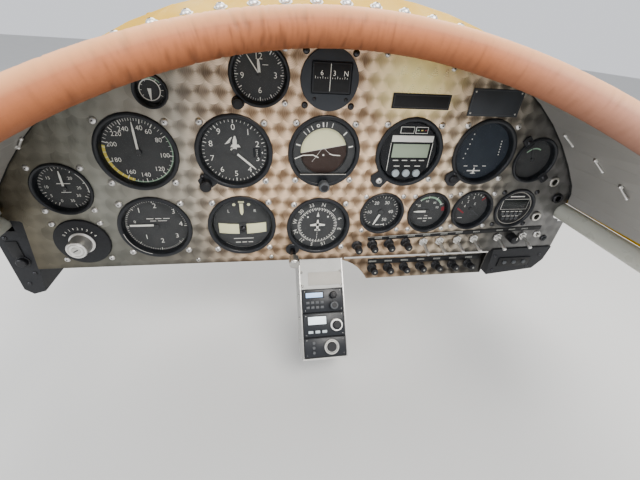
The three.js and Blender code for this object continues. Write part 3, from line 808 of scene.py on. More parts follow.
def spot_of(node):
    """Place of an instrument's centre, its flange's half width and its depth behind the face."""
    low, high = layout_box(node)
    half = (high.x - low.x) / 2
    return on_panel((low.x + high.x) / 2, high.z - half), half, high.y


# Screws, knobs and cases

# A screw head's outline, in parts of its radius, and the turn of its slot in radians
SCREW_DOME = ((0, 0.68), (0.30, 0.66), (0.62, 0.55), (0.86, 0.34), (0.98, 0.12), (1.0, 0.0), (1.0, -0.1),
              (0, -0.1))
SLOT_TURN = 0.6


def round_screw(piece, place, name, radius):
    """A domed head with a crossed slot."""
    piece.turn([(r * radius, z * radius) for r, z in SCREW_DOME], 24, place, name)
    top = radius * 0.69
    for width, height in ((0.62, 0.15), (0.15, 0.62)):
        slot = block(radius * width, radius * height, top * 0.8, top + 0.03, 0)
        piece.add(slot, rolled(place, SLOT_TURN), "label_black")


def knob(piece, place, radius, length, name="knob_black", cap="knob_black", shaft=3.0, reach=3.0):
    """A fluted knob on its shaft; reach is the gap behind it."""
    top = reach + length
    piece.turn([(0, -6), (shaft, -6), (shaft, reach + 1), (0, reach + 1)], 16, place, "dark_steel")
    body = turned([(0, reach), (radius - 0.5, reach), (radius, reach + 0.5), (radius, top - 1.2),
                   (radius - 1.0, top - 0.2), (radius - 2.0, top), (0, top)], 32)
    for vert in body.verts:
        if math.hypot(vert.co.x, vert.co.y) > radius - 0.2:
            flute = 1.0 - 0.045 * (0.5 + 0.5 * math.cos(16 * math.atan2(vert.co.y, vert.co.x)))
            vert.co.x *= flute
            vert.co.y *= flute
    piece.add(body, place, name)
    piece.turn([(0, top + 0.35), (radius - 2.6, top + 0.35), (radius - 2.2, top), (0, top)], 32, place, cap)


def case_parts(piece, place, case, depth, round_flange):
    """Ring, glass well, flange, body and glass of an instrument, with two ribs round the body."""
    ring, well, half, body = case.ring, case.well, case.half, case.body
    low, high = FLANGE_LOW, FLANGE_HIGH
    piece.turn([
        (0, -depth), (body - 3.0, -depth), (body - 0.8, -depth + 0.8), (body, -depth + 3.0), (body, low),
        (ring, low), (ring, 0.9), (ring - 0.35, 1.9), (ring - 1.3, 2.5), (well + 2.2, 2.6),
        (well + 1.0, 2.3), (well + 0.3, 1.6), (well, 0.8), (well - 0.5, -0.6), (well - 1.4, WELL_FLOOR),
        (0, WELL_FLOOR),
    ], 72, place, "black_enamel")
    if round_flange:
        piece.turn([(ring - 1, low), (half, low), (half + 1, low + 0.5), (half + 1, high - 0.5),
                    (half + 0.5, high), (ring - 1, high), (ring - 1, low)], 72, place, "black_crackle")
    else:
        piece.add(open_plate(half, case.corner, ring - 1, low, high), place, "black_crackle")
    for level in (9.0 - depth, -depth * 0.5 - 4.0):
        piece.turn([(body - 0.2, level - 1.2), (body + 0.5, level - 1.0), (body + 0.5, level + 1.0),
                    (body - 0.2, level + 1.2)], 72, place, "case_grey")
    piece.add(disc(well + 0.1, GLASS_LEVEL), place, "clear_glass")


def back_of(place, depth):
    """Place on the back of an instrument, looking forward."""
    return moved(place, 0, 0, -depth) @ Matrix.Rotation(math.pi, 4, "Y")


def air_port(piece, place, x, y):
    """A hose fitting with a hexagon and a barbed end."""
    there = moved(place, x, y)
    piece.add(hex_nut(6.2, 5.0, 2.2, 0.5), there, "brass")
    piece.turn([(0, 4), (3.4, 4), (3.4, 7), (2.8, 7.4), (3.4, 8.6), (2.8, 9.4), (3.2, 10.4), (2.2, 12.0),
                (1.4, 12.0), (1.4, 9.0), (0, 9.0)], 20, there, "brass")


def plug_socket(piece, place, y, radius):
    """A round socket with three rings of pins."""
    there = moved(place, 0, y)
    piece.turn([(0, -1), (radius + 2.5, -1), (radius + 2.5, 1.2), (radius, 1.6), (radius, 8.5),
                (radius - 0.8, 9.2), (radius - 1.8, 9.2), (radius - 1.8, 4.0), (0, 4.0)], 36, there,
               "satin_steel")
    for ring, count in ((0, 1), (radius * 0.32, 4), (radius * 0.6, 8)):
        for i in range(count):
            pin = moved(there, *clock_spot(ring, 360 * i / count))
            piece.turn([(0, 3.8), (0.55, 3.8), (0.55, 8.0), (0, 8.4)], 8, pin, "brass")


def data_plate(piece, place, y, width):
    """A blank plate with a rivet at either end."""
    piece.add(block(width, 9.0, -0.2, 0.5, 0.2, y=y), place, "satin_steel")
    for x in (-width / 2 + 2.0, width / 2 - 2.0):
        piece.turn([(0, 0.9), (0.8, 0.8), (1.0, 0.4), (0, 0.4)], 10, moved(place, x, y), "brass")


# Dials, drawn in millimetres from their middle, with angles in degrees clockwise from the top


class Dial:
    """The face of one instrument: marks in layers, each a hair above the last."""

    def __init__(self, piece, place, radius, ground):
        self.piece = piece
        self.place = place
        self.level = DIAL_LEVEL
        self.put(disc(radius, self.level, 72), ground)

    def put(self, part, name="dial_white"):
        self.piece.add(part, self.place, name)

    def ticks(self, inner, outer, angles, width, name="dial_white"):
        for angle in angles:
            self.put(mark(width, inner, outer, angle, self.level + MARK_LIFT), name)

    def numbers(self, spots, height):
        for text, x, y in spots:
            self.put(lettering(text, height, x, y, self.level + FIGURE_LIFT))

    def figures(self, texts, angles, radius, height, rise=0.0):
        """Figures on a circle, each moved up by the rise."""
        spots = [clock_spot(radius, angle) for angle in angles]
        self.numbers([(text, x, y + rise) for text, (x, y) in zip(texts, spots)], height)

    def band(self, inner, outer, start, stop, name):
        self.put(band(inner, outer, start, stop, self.level + BAND_LIFT), name)

    def shape(self, points, name="dial_white", lift=MARK_LIFT):
        self.put(patch(points, self.level + lift), name)

    def bar(self, x0, y0, x1, y1, width, name="dial_white", lift=FIGURE_LIFT):
        self.shape(strip((x0, y0), (x1, y1), width), name, lift)

    def dashes(self, y, spans, width, name="dial_white"):
        for x0, x1 in spans:
            self.bar(x0, y, x1, y, width, name)

    def pointer(self, angle, length, tail, width, tip, hub, name="dial_white"):
        """A tapered pointer that stands above the face on its hub."""
        level, half, end, bend = self.level, width / 2, tip / 2, length * 0.72
        blade = [(-half, -tail), (half, -tail), (half, bend), (end, length), (-end, length), (-half, bend)]
        self.put(spun(sheet(blade, level + 1.2, level + 1.6, 0), angle), name)
        boss = [(0, level + 2.2), (hub * 0.7, level + 2.1), (hub, level + 1.7), (hub, level), (0, level)]
        self.put(turned(boss, 28), "dial_black")


def steps(start, stop, count):
    return [start + (stop - start) * i / (count - 1) for i in range(count)]


# Figures of the airspeed dial, and their angles
SPEEDS = ((40, 13), (60, 33), (80, 60), (100, 98), (120, 137), (140, 176), (160, 210), (180, 250),
          (200, 288), (220, 317), (240, 338))


def airspeed(dial):
    angles = [angle for _, angle in SPEEDS]
    dial.band(32.0, 33.2, 61.5, 198, "dial_pale_green")
    dial.band(30.4, 33.4, 198, 282, "dial_yellow")
    dial.ticks(28.6, 33.2, angles, 0.9)
    for first, last in zip(angles, angles[1:]):
        dial.ticks(30.2, 33.2, steps(first, last, 5)[1:-1], 0.5)
    dial.ticks(30.6, 33.2, steps(angles[-1] - 360, angles[0], 9)[1:-1], 0.5)
    dial.figures([str(speed) for speed, _ in SPEEDS], angles, 24.6, 4.7)
    dial.pointer(0, 30, 3, 2.2, 0.6, 3.0)


def altimeter(dial):
    angles = [36 * i for i in range(10)]
    dial.ticks(29.4, 33.0, angles, 1.0)
    dial.ticks(30.8, 33.0, [7.2 * i for i in range(50) if i % 5], 0.6)
    dial.figures("0123456789", angles, 25.0, 6.1, 0.6)
    dial.put(block(8.4, 10.5, dial.level - 0.2, dial.level + 0.45, 0.3, x=23.0, y=-1.0), "black_enamel")
    for i, text in enumerate("2992"):
        dial.put(lettering(text, 1.9, 23.0, 2.3 - 2.2 * i, dial.level + 0.5, 90))
    dial.shape([(29.4, 0.6), (29.4, -2.6), (27.6, -1.0)])
    for i in range(5):
        dial.bar(-9.5 + 1.2 * i, 8.0 + 1.3 * i, -4.4 + 0.7 * i, 9.8 + 1.4 * i, 0.8)
    dial.shape([(-4.2, 4.6), (6.4, 4.6), (4.6, 7.6), (-2.6, 7.6)])
    dial.pointer(4, 17, 3, 4.2, 1.4, 3.4)
    dial.pointer(132, 28.8, 5, 2.2, 0.9, 3.6)


# The horizon: bank marks by angle and width, the two halves of its wings, and the level of its raised ring
BANK_MARKS = ((-74, 1.5), (-46.7, 0.8), (-37.8, 0.8), (-29, 0.8), (-5.6, 1.5), (1.4, 0.8), (13.6, 0.8),
              (45.7, 1.5), (76.7, 1.5))
LEFT_WING = ((-32.6, -6.9), (-23.7, -3.0), (-12.5, -2.5), (-6.2, -5.5))
RIGHT_WING = ((5.5, -1.0), (10.0, -2.5), (18.0, -3.0))
HORIZON_RING = -1.0


def attitude(dial):
    ring = HORIZON_RING
    dial.put(disc(26.6, dial.level + 0.05), "dial_brown")
    sky = spun(band(0.05, 26.0, -90, 90, dial.level + 0.1), -11)
    dial.put(shifted(sky, 0, 3.0), "dial_cream")
    dial.bar(-25.4, -1.9, 25.4, 7.9, 0.5, lift=0.16)
    for x, y in ((-12.5, -11.7), (7.5, -3.0)):
        dial.bar(-1.0, 4.5, x, y, 0.4, lift=0.16)
    low = [clock_spot(36.6, angle) for angle in steps(130, 230, 25)]
    dial.put(sheet(low[::-1], -2.0, 1.7, 0.3), "black_enamel")
    dial.put(block(53.0, 0.9, 1.5, 2.1, 0.1, y=low[0][1] - 0.5), "label_white")
    dial.put(turned([(25.6, -4.6), (26.2, ring - 0.5), (26.8, ring), (34.3, ring), (34.3, ring - 0.8),
                     (25.6, -4.6)], 72), "dial_black")
    for angle, wide in BANK_MARKS:
        dial.put(mark(wide, 27.4, 32.4, angle, ring + 0.1))
    dial.put(shifted(band(0.9, 1.8, 0, 360, ring + 0.1), *clock_spot(29.8, -16.0)))
    for wing in (LEFT_WING, RIGHT_WING):
        for a, b in zip(wing, wing[1:]):
            dial.put(bar(a, b, 1.1, ring + 0.4))
    dial.put(disc(1.1, ring + 0.6, 16, -1.0, -2.5))


def vertical_speed(dial):
    dial.ticks(30.0, 33.2, [270 + 45 * i for i in range(-3, 5)], 0.9)
    dial.ticks(31.2, 33.2, [270 + 4.5 * i for i in range(-32, 41) if i % 10], 0.5)
    dial.numbers((("1", -15.2, 21.2), ("2", 2.2, 26.6), ("3", 21.0, 19.0), ("4", 26.6, 2.7),
                  ("3", 20.0, -13.5), ("2", 2.5, -20.0), ("1", -14.0, -14.2)), 5.9)
    dial.dashes(10.0, ((-9.5, -2.0), (0.0, 6.5), (8.5, 15.5)), 0.9)
    dial.dashes(7.0, ((-6.0, 0.5), (2.5, 12.0)), 0.7)
    dial.put(bar((-28.4, 2.0), (-3.0, 2.0), 2.5, dial.level + 1.2))
    dial.numbers((("0", -22.6, 6.4),), 3.4)
    dial.put(turned([(0, -2.9), (2.4, -3.0), (3.0, -3.4), (3.0, -5.0), (0, -5.0)], 28), "dial_black")
    # Painted highlight: a bright steel arc on the lower left of the bezel stands for its reflection
    dial.put(band(34.9, 35.6, 196, 262, 2.45), "satin_steel")


def turn_and_slip(dial):
    level = dial.level
    dial.shape(upright(6.8, 29.0, 31.4), "dial_cream", 0.9)
    needle = [(-0.7, 13.5), (0.7, 13.5), (2.0, 17.0), (2.2, 28.4), (-2.2, 28.4), (-2.0, 17.0)]
    dial.put(sheet(needle, level + 1.2, level + 1.7, 0), "dial_cream")
    edge = [(4.5, 0.4), (16.0, 1.0), (28.0, 2.4), (28.0, -11.0), (16.0, -12.6), (4.5, -13.2)]
    for side in (-1, 1):
        dial.put(disc(1.9, level + 0.14, 20, side * 8.4, 26.4), "dial_cream")
        half = [(side * x, y) for x, y in edge[::-side]]
        dial.put(sheet(half, level + 0.3, level + 1.3, 0.4), "dial_cream")
    dial.figures("LR", [-40, 40], 23.6, 3.6)
    dial.put(sheet(upright(9.0, -12.4, 2.0), level + 0.5, level + 0.9, 0), "dial_black")
    ball = turned([(0, 3.8), (2.0, 3.3), (3.4, 1.9), (3.8, 0.0), (0, 0)], 28)
    dial.put(shifted(ball, 0.6, -5.6, level + 0.9), "dark_steel")
    dial.dashes(-20.4, ((-12.0, 12.0),), 0.9)
    dial.dashes(-26.0, ((-10.0, -4.0), (-2.0, 3.5), (5.5, 11.0)), 1.1)
    # Painted highlight: a bright steel arc low on the dial's rim stands for a reflection
    dial.put(band(33.0, 33.5, 140, 220, level + 0.3), "satin_steel")


# The heading card: its turn, its middle, and the small aircraft over it
CARD_TURN = 12.3
CARD_MIDDLE = (-0.8, -1.0)
CARD_FIGURES = ("N", "3", "6", "E", "12", "15", "S", "21", "24", "W", "30", "33")
PLANE = (
    ((-1.2, -7.6), (1.2, -7.6), (1.6, 4.0), (0.9, 8.6), (-0.9, 8.6), (-1.6, 4.0)),
    ((-9.4, -0.2), (9.4, -0.2), (9.4, 2.0), (1.2, 3.6), (-1.2, 3.6), (-9.4, 2.0)),
    ((-3.8, -7.0), (3.8, -7.0), (3.6, -5.2), (0.8, -4.4), (-0.8, -4.4), (-3.6, -5.2)),
)


def heading(dial):
    for i, text in enumerate(CARD_FIGURES):
        angle = CARD_TURN + 30 * i
        x, y = clock_spot(29.2, angle)
        dial.put(lettering(text, 4.9, x - 0.6, y - 0.8, dial.level + FIGURE_LIFT, angle))
    for start, inner, wide in ((0, 21.0, 0.9), (5, 22.6, 0.7)):
        for i in range(36):
            tick = mark(wide, inner, 25.0, CARD_TURN + start + 10 * i, dial.level + MARK_LIFT)
            dial.put(shifted(tick, *CARD_MIDDLE))
    dial.shape([(-2.7, 11.6), (1.1, 11.6), (-0.8, 18.6)], lift=0.5)
    for side in (-1, 1):
        dial.put(disc(1.2, dial.level + 0.5, 16, side * 12.6 - 0.8, 11.4))
    for points in PLANE:
        dial.put(shifted(sheet(points, dial.level + 1.0, dial.level + 1.4, 0), *CARD_MIDDLE))
    for i in range(4):
        dial.bar(-0.8, -11.4 - 2.6 * i, -0.8, -12.8 - 2.6 * i, 0.7)


def course(dial):
    dial.put(band(16.0, 27.0, 0, 360, dial.level + 0.06), "dial_slate")
    dial.ticks(28.5, 31.0, [i * 30 for i in range(12)], 0.6, "case_grey")
    for i in range(6):
        part = i / 5
        for x, y in ((-16.7 - 5.0 * part, 20.7 - 28.7 * part), (21.5 + 1.5 * part, 13.0 - 16.0 * part)):
            dial.put(disc(0.8, dial.level + 0.2, 12, x, y))
    dial.dashes(-17.5, ((-18.0, -13.0), (-5.0, 0.6), (7.0, 12.0)), 1.0)
    dial.dashes(-23.5, ((-12.0, 6.0),), 1.6)
    dial.shape([(-4.6, -27.6), (-1.4, -27.6), (-2.2, -19.6), (-3.8, -19.6)])
    dial.dashes(-26.8, ((-6.4, 0.4),), 1.0)


def round_display(dial):
    level = dial.level
    raised = level + 2.0
    dial.put(turned([(0, level + 2.4), (33.3, level + 2.4), (33.6, raised), (33.6, level), (0, level)], 64),
             "black_crackle")
    for x, width in ((-6.5, 16.0), (10.4, 14.6)):
        dial.put(block(width, 7.4, raised, level + 3.0, 0.3, x=x, y=25.2))
        dial.put(block(width - 1.2, 6.2, raised, level + 3.1, 0.3, x=x, y=25.2), "label_black")
    dial.put(block(49.4, 7.3, raised, level + 3.2, 0.4, x=2.1, y=15.7))
    dial.put(block(48.0, 18.6, raised, level + 2.9, 0.6, x=2.2, y=2.0), "label_black")
    dial.put(block(44.0, 15.8, raised, level + 3.1, 0.3, x=2.0, y=2.0), "display_green")
    for x in (-14.0, -3.0, 8.0, 18.0):
        dial.put(block(6.4, 1.0, level + 2.2, level + 3.2, 0, x=x, y=-9.2))
    dial.bar(-22.7, -22.0, -22.7, 11.0, 0.7, lift=2.5)
    dial.bar(27.2, -18.0, 27.2, 11.0, 0.7, lift=2.5)
    for x, name in ((6.0, "dial_pale_green"), (10.5, "dial_yellow"), (15.0, "dial_red")):
        dial.put(block(2.2, 1.2, level + 2.6, level + 3.2, 0, x=x, y=25.2), name)
    button = [(0, level + 5.0), (3.4, level + 4.9), (4.4, level + 4.3), (4.6, level + 2.4), (0, level + 2.4)]
    for x in (-11.2, 1.8, 14.6):
        dial.put(shifted(turned(button, 32), x, -24.8), "button_pale")
        dial.bar(x - 3.6, -16.2, x + 3.6, -16.2, 1.0, lift=2.5)


def compass(dial):
    dial.put(turned([(0, 2.9), (27.6, 2.9), (28.4, 2.7), (28.7, 2.0), (28.7, -1.0), (0, -1.0)], 64),
             "placard_grey")
    dial.put(block(39.4, 28.6, 2.4, 3.7, 1.4, 3, x=1.3, y=2.1), "black_enamel")
    dial.put(block(36.4, 25.6, 2.8, 3.8, 0.8, x=1.3, y=2.1), "label_black")
    lift = 3.86 - dial.level
    for text, x in (("6", -8.6), ("3", 3.6), ("N", 15.0)):
        dial.put(lettering(text, 4.4, x, 6.4, 3.88))
    for i in range(14):
        tall = 1.3 if i % 3 else 2.2
        dial.bar(-14.8 + 2.4 * i, 1.4, -14.8 + 2.4 * i, 1.4 + tall, 0.4, lift=lift)
    dial.bar(-0.2, -9.6, -0.2, 14.4, 0.6, lift=lift + 0.06)
    for side in (-1, 1):
        round_screw(dial.piece, moved(dial.place, side * 16.0 + 1.3, -17.4, 2.8), "dark_steel", 1.9)


def clock(dial):
    dial.ticks(19.8, 23.4, [30 * i for i in range(12)], 0.9)
    dial.ticks(21.4, 23.4, [6 * i for i in range(60) if i % 5], 0.45)
    dial.numbers((("12", -0.5, 15.7), ("3", 15.0, 0.0), ("6", 0.0, -13.5), ("9", -16.2, -1.0)), 5.4)
    dial.pointer(-4, 13.5, 0, 2.6, 1.8, 2.2)
    dial.pointer(-34, 20.0, 2, 1.1, 0.5, 1.8)
    dial.dashes(8.6, ((3.0, 8.4),), 0.6)


def engine_speed(dial):
    angles = steps(-150, 165, 36)
    dial.ticks(19.2, 23.4, angles[::5], 0.8)
    dial.ticks(21.0, 23.4, angles, 0.45)
    dial.numbers((("0", -7.0, -14.7), ("5", -15.0, -8.7), ("10", -16.6, 1.3), ("15", -11.8, 11.2),
                  ("20", 8.3, 10.8), ("25", 13.8, 0.0), ("30", 10.8, -8.7), ("35", 3.3, -14.7)), 3.2)
    dial.dashes(4.8, ((-6.0, 7.0),), 0.8)
    dial.dashes(-5.0, ((-4.6, 5.0),), 0.7)
    dial.pointer(2, 19.0, 3, 2.0, 0.8, 2.6)
    # Painted highlight: a bright steel arc on the right of the bezel stands for its reflection
    dial.put(band(25.6, 26.3, 45, 95, 2.5), "satin_steel")


def fuel(dial):
    angles = steps(-140, 160, 31)
    dial.ticks(18.6, 22.6, angles[::5], 0.9)
    dial.ticks(20.4, 22.6, angles, 0.5)
    dial.numbers((("10", -15.0, 0.0), ("20", -7.2, 12.5), ("30", 6.3, 12.8), ("40", 13.3, 0.0),
                  ("50", 6.3, -11.3)), 4.5)
    dial.dashes(-19.0, ((-4.4, 0.4), (2.0, 7.4)), 1.2)
    dial.pointer(204, 20.0, 0, 2.7, 1.2, 3.4)


def oil(dial):
    dial.band(18.4, 20.8, -38, 62, "dial_pale_green")
    dial.ticks(18.0, 22.6, [-60, -38, -4, 30, 62], 0.8)
    dial.band(19.4, 23.4, 74, 90, "dial_red")
    dial.numbers((("20", -12.6, 8.0), ("60", -3.0, 14.2), ("80", 7.6, 11.8), ("90", 12.6, 5.2)), 3.0)
    dial.dashes(-10.8, ((-10.8, -4.6), (-3.0, 2.6), (4.2, 9.2)), 1.2)
    dial.dashes(-7.0, ((-2.0, 2.0),), 0.9)
    dial.dashes(-15.0, ((-2.4, 2.4),), 0.9)
    dial.pointer(-90, 19.2, 0, 2.6, 1.2, 2.8)


def cylinder(dial):
    dial.bar(-18.3, 0.8, -7.5, -6.7, 2.0, "dial_red")
    dial.bar(13.3, 11.7, 17.5, 15.8, 2.0, "dial_red")
    dial.ticks(20.0, 22.8, steps(-62, 40, 9), 0.7)
    dial.numbers((("1", -14.2, 9.2), ("2", -5.8, 10.6), ("4", -8.8, 3.7), ("5", 5.0, 6.7), ("3", 0.6, 15.8),
                  ("2", -7.5, 16.4)), 3.8)
    dial.dashes(-13.7, ((-14.0, -7.6),), 0.9)
    dial.dashes(-9.0, ((2.0, 11.0),), 0.7, "case_grey")
    dial.pointer(126, 19.0, 0, 1.6, 0.7, 2.4, "case_grey")


def engine_monitor(dial):
    dial.put(turned([(0, -0.6), (24.3, -0.6), (24.6, -1.0), (24.6, -4.9), (0, -4.9)], 64), "black_crackle")
    dial.put(band(23.0, 24.3, 0, 360, -0.5), "label_white")
    dial.put(block(39.0, 15.4, -1.0, 0.0, 0.4, x=-1.0, y=6.4))
    dial.put(block(38.0, 14.4, -0.8, 0.08, 0.3, x=-1.0, y=6.4), "label_black")
    dial.put(block(34.0, 11.0, -0.6, 0.14, 0.2, x=-1.0, y=6.4), "display_dark")
    lift = -dial.level - 0.4
    dial.bar(-12.0, 17.6, 9.0, 17.6, 1.6, lift=lift)
    for x, y in [(-14.0 + 6.6 * i, -8.4) for i in range(5)] + [(-10.7 + 6.6 * i, -15.4) for i in range(4)]:
        button = turned([(0, 0.3), (1.9, 0.2), (2.4, -0.2), (2.5, -0.8), (0, -0.8)], 20)
        dial.put(shifted(button, x, y), "case_grey")
        dial.bar(x - 2.4, y + 3.8, x + 2.4, y + 3.8, 0.9, lift=lift)


def suction(dial):
    dial.put(band(13.0, 14.6, -52, 30, dial.level + 0.1), "dial_pale_green")
    dial.ticks(15.6, 19.0, steps(-110, 110, 12), 0.5, "case_grey")
    dial.pointer(-24, 15.0, 2, 1.4, 0.6, 2.4, "case_grey")


def volts(dial):
    dial.put(shifted(band(8.6, 9.6, 0, 360, dial.level + 0.1), -1.5, 0.0))
    dial.band(9.8, 10.9, -40, 52, "dial_pale_green")
    dial.ticks(8.4, 10.9, steps(-120, 120, 9), 0.5)
    needle = [(-1.9, -9.0), (-1.1, -9.0), (0.3, 1.6), (-3.3, 1.6)]
    dial.put(sheet(needle, dial.level + 0.8, dial.level + 1.1, 0))


# Instruments: the fittings on the back


def air_back(piece, place, body):
    """Two hose fittings and a data plate."""
    for side in (-1, 1):
        air_port(piece, place, side * body * 0.42, -body * 0.2)
    data_plate(piece, place, body * 0.4, body * 0.9)


def plug_back(piece, place, body):
    """A plug socket and a data plate."""
    plug_socket(piece, place, -body * 0.25, min(body * 0.34, 9.0))
    data_plate(piece, place, body * 0.5, body * 0.8)


def plate_back(piece, place, body):
    data_plate(piece, place, 0, body * 0.9)


# Instruments: knobs, tabs and lugs on the front

# Tab over the low left corner of a large instrument
CORNER_TAB = ((-41.0, -34.0), (-36.0, -40.0), (-28.0, -41.5), (-20.0, -32.0), (-32.0, -20.0), (-41.5, -27.0))
ALTIMETER_TAB = ((-38.0, -39.0), (-30.0, -40.5), (-20.0, -33.0), (-33.0, -22.0), (-40.5, -30.0))
# The suction gauge has a round flange, held by two lugs at these places
LUGS = ((245.2, 15.1), (285.6, -28.6))
LUG = ((-6, -5), (6, -5), (7.5, 0), (6, 5), (-6, 5), (-7.5, 0))


def altimeter_front(piece, place):
    knob(piece, moved(place, -32, -33.5), 6.2, 9.0)
    piece.add(sheet(ALTIMETER_TAB, 0.3, 2.4), place, "black_enamel")
    round_screw(piece, moved(place, -35.6, -25.4, 2.4), "dark_steel", 2.4)


def clock_front(piece, place):
    there = moved(place, -21.4, -24)
    knob(piece, there, 5.4, 6.6)
    piece.turn([(0, 0.3), (6.2, 0.3), (6.2, 1.6), (5.6, 2.2), (0, 2.2)], 32, there, "black_enamel")


def attitude_front(piece, place):
    knob(piece, moved(place, 0.5, -36), 6.2, 10.0, "case_grey")


def heading_front(piece, place):
    there = moved(place, -32.3, -32.5)
    knob(piece, there, 6.4, 13.4, "satin_steel", "satin_steel", 3.4, 20.0)
    piece.turn([(0, 0.3), (8.4, 0.3), (8.4, 1.6), (7.6, 2.4), (0, 2.4)], 32, there, "black_enamel")


def course_front(piece, place):
    piece.add(sheet(CORNER_TAB, 0.3, 2.2, 0.6), place, "black_enamel")
    knob(piece, moved(place, -31, -32), 5.2, 4.0, reach=1.0)
    round_screw(piece, moved(place, -31, -25.0, 2.2), "dark_steel", 2.2)


def display_front(piece, place):
    piece.add(sheet(CORNER_TAB, 0.3, 2.2, 0.6), place, "black_enamel")
    round_screw(piece, moved(place, -31.5, -32.5, 2.2), "bright_steel", 4.0)


# node, dial, fittings on the back, fittings on the front
FACES = (
    ("airspeed_indicator", airspeed, air_back, None),
    ("altimeter", altimeter, air_back, altimeter_front),
    ("attitude_indicator", attitude, air_back, attitude_front),
    ("round_display_unit", round_display, plug_back, display_front),
    ("course_indicator", course, plug_back, course_front),
    ("vertical_speed_indicator", vertical_speed, air_back, None),
    ("turn_and_slip_indicator", turn_and_slip, plug_back, None),
    ("heading_indicator", heading, air_back, heading_front),
    ("compass", compass, plate_back, None),
    ("clock", clock, plate_back, clock_front),
    ("engine_speed_gauge", engine_speed, plug_back, None),
    ("suction_gauge", suction, air_back, None),
    ("fuel_gauge", fuel, plug_back, None),
    ("oil_gauge", oil, plug_back, None),
    ("cylinder_gauge", cylinder, plug_back, None),
    ("engine_monitor", engine_monitor, plug_back, None),
    ("volt_gauge", volts, plate_back, None),
)
DARK_SCREWS = {"compass", "engine_monitor"}
NO_LOW_LEFT = {"altimeter", "heading_indicator", "clock", "course_indicator", "round_display_unit"}


def case_of(half):
    """The case of an instrument, by its flange's half width."""
    if half > 36:
        return LARGE
    return SMALL if half > 20 else MINI


def corner_screws(piece, node, place, case):
    name = "dark_steel" if node in DARK_SCREWS else "bright_steel"
    for sx, sz in CORNERS:
        if sx + sz > -2 or node not in NO_LOW_LEFT:
            round_screw(piece, moved(place, sx * case.square, sz * case.square, 0.1), name, case.head)


def flange_lugs(piece):
    for x, z in LUGS:
        piece.add(sheet(LUG, 0.3, 2.2), rolled(on_panel(x, z), math.radians(-45)), "black_crackle")
        round_screw(piece, on_panel(x, z, 2.2), "dark_steel", 2.6)


def build_instrument(node, draw, fit_back, fit_front):
    place, half, depth = spot_of(node)
    case = case_of(half)
    round_flange = node == "suction_gauge"
    piece = Piece(node + "_dressed")
    case_parts(piece, place, case, depth, round_flange)
    draw(Dial(piece, place, case.well - 1.2, "dial_slate" if node == "course_indicator" else "dial_black"))
    fit_back(piece, back_of(place, depth), case.body)
    if round_flange:
        flange_lugs(piece)
    elif case.square:
        corner_screws(piece, node, place, case)
    if fit_front:
        fit_front(piece, place)
    piece.done("instrument_black", node)


def build_ignition():
    """The key switch: a round case on a square flange, with figures and marks round its barrel."""
    node = "ignition_switch"
    place, half, depth = spot_of(node)
    piece = Piece(node + "_dressed")
    piece.turn([
        (0, -depth), (24.0, -depth), (27.0, -depth + 3.0), (27.0, FLANGE_LOW), (28.7, FLANGE_LOW),
        (28.7, 1.5), (28.2, 2.3), (27.2, 2.6), (0, 2.6)], 72, place, "black_crackle")
    cut = half - SMALL.corner
    flange = [(cut, half), (-cut, half), (-half, cut), (-half, -cut), (-cut, -half), (cut, -half),
              (half, -cut), (half, cut)]
    piece.add(sheet(flange, FLANGE_LOW, FLANGE_HIGH), place, "black_crackle")
    piece.turn([(0, 2.4), (13.4, 2.4), (13.4, 3.4), (12.6, 4.0), (11.4, 4.4), (10.6, 16.8), (10.2, 18.2),
                (9.4, 18.8), (0, 18.8)], 56, place, "bright_steel")
    piece.turn([(6.8, 18.7), (7.2, 19.1), (8.0, 19.1), (8.4, 18.7), (6.8, 18.7)], 48, place, "satin_steel")
    piece.turn([(0, 19.2), (4.2, 19.2), (4.6, 18.9), (4.6, 18.6), (0, 18.6)], 40, place, "satin_steel")
    piece.add(block(6.2, 1.3, 18.8, 19.35, 0.1), rolled(place, 0.5), "case_grey")
    for angle, text in ((-55, "0"), (-26, "1"), (2, "2"), (30, "3"), (60, "4")):
        piece.add(lettering(text, 2.9, *clock_spot(18.6, angle), 2.72, angle), place, "dial_white")
    for angle in (-41, -12, 16, 45):
        tick = mark(0.7, -1.2, 1.2, angle, 2.72)
        piece.add(shifted(tick, *clock_spot(18.6, angle)), place, "dial_white")
    plug_socket(piece, back_of(place, depth), 0, 8.0)
    corner_screws(piece, node, place, SMALL)
    piece.done("instrument_black", node)


# Switches


def build_breaker(piece, place, depth):
    piece.turn([(0, -depth), (6.0, -depth), (6.0, -6.0), (5.2, -5.6), (5.2, 0.3), (6.9, 0.3), (6.9, 1.0),
                (6.2, 1.6), (5.6, 2.4), (5.6, 3.6), (5.2, 4.0), (4.4, 4.2), (0, 4.2)], 28, place,
               "knob_black")
    piece.turn([(0, 4), (4.5, 4), (4.8, 4.6), (4.8, 14.2), (4.3, 15.2), (2.6, 15.8), (0, 15.9)], 28, place,
               "knob_black")
    piece.turn([(4.6, 6.4), (5.0, 6.5), (5.0, 7.3), (4.6, 7.4)], 28, place, "case_grey")
    piece.turn([(0, 16.4), (1.0, 16.3), (1.4, 16.0), (1.4, 15.6), (0, 15.6)], 20, place, "label_grey")


def build_toggle(piece, place):
    piece.add(hex_nut(6.4, 2.4, 1.6, 0.4), place, "bright_steel")
    piece.turn([(0, -20), (4.0, -20), (4.0, 4.4), (3.4, 5.0), (2.6, 5.2), (0, 5.2)], 28, place,
               "satin_steel")
    lever = turned([(0, 0), (1.8, 0), (2.0, 8.0), (2.4, 19.0), (2.6, 22.6), (2.2, 24.2), (1.1, 24.9),
                    (0, 25.0)], 20)
    lever.transform(Matrix.Rotation(math.radians(16), 4, "X"))
    piece.add(lever, place, "bright_steel")
    piece.add(block(12.6, 15.0, -22.0, -6.0, 0.8), place, "label_black")


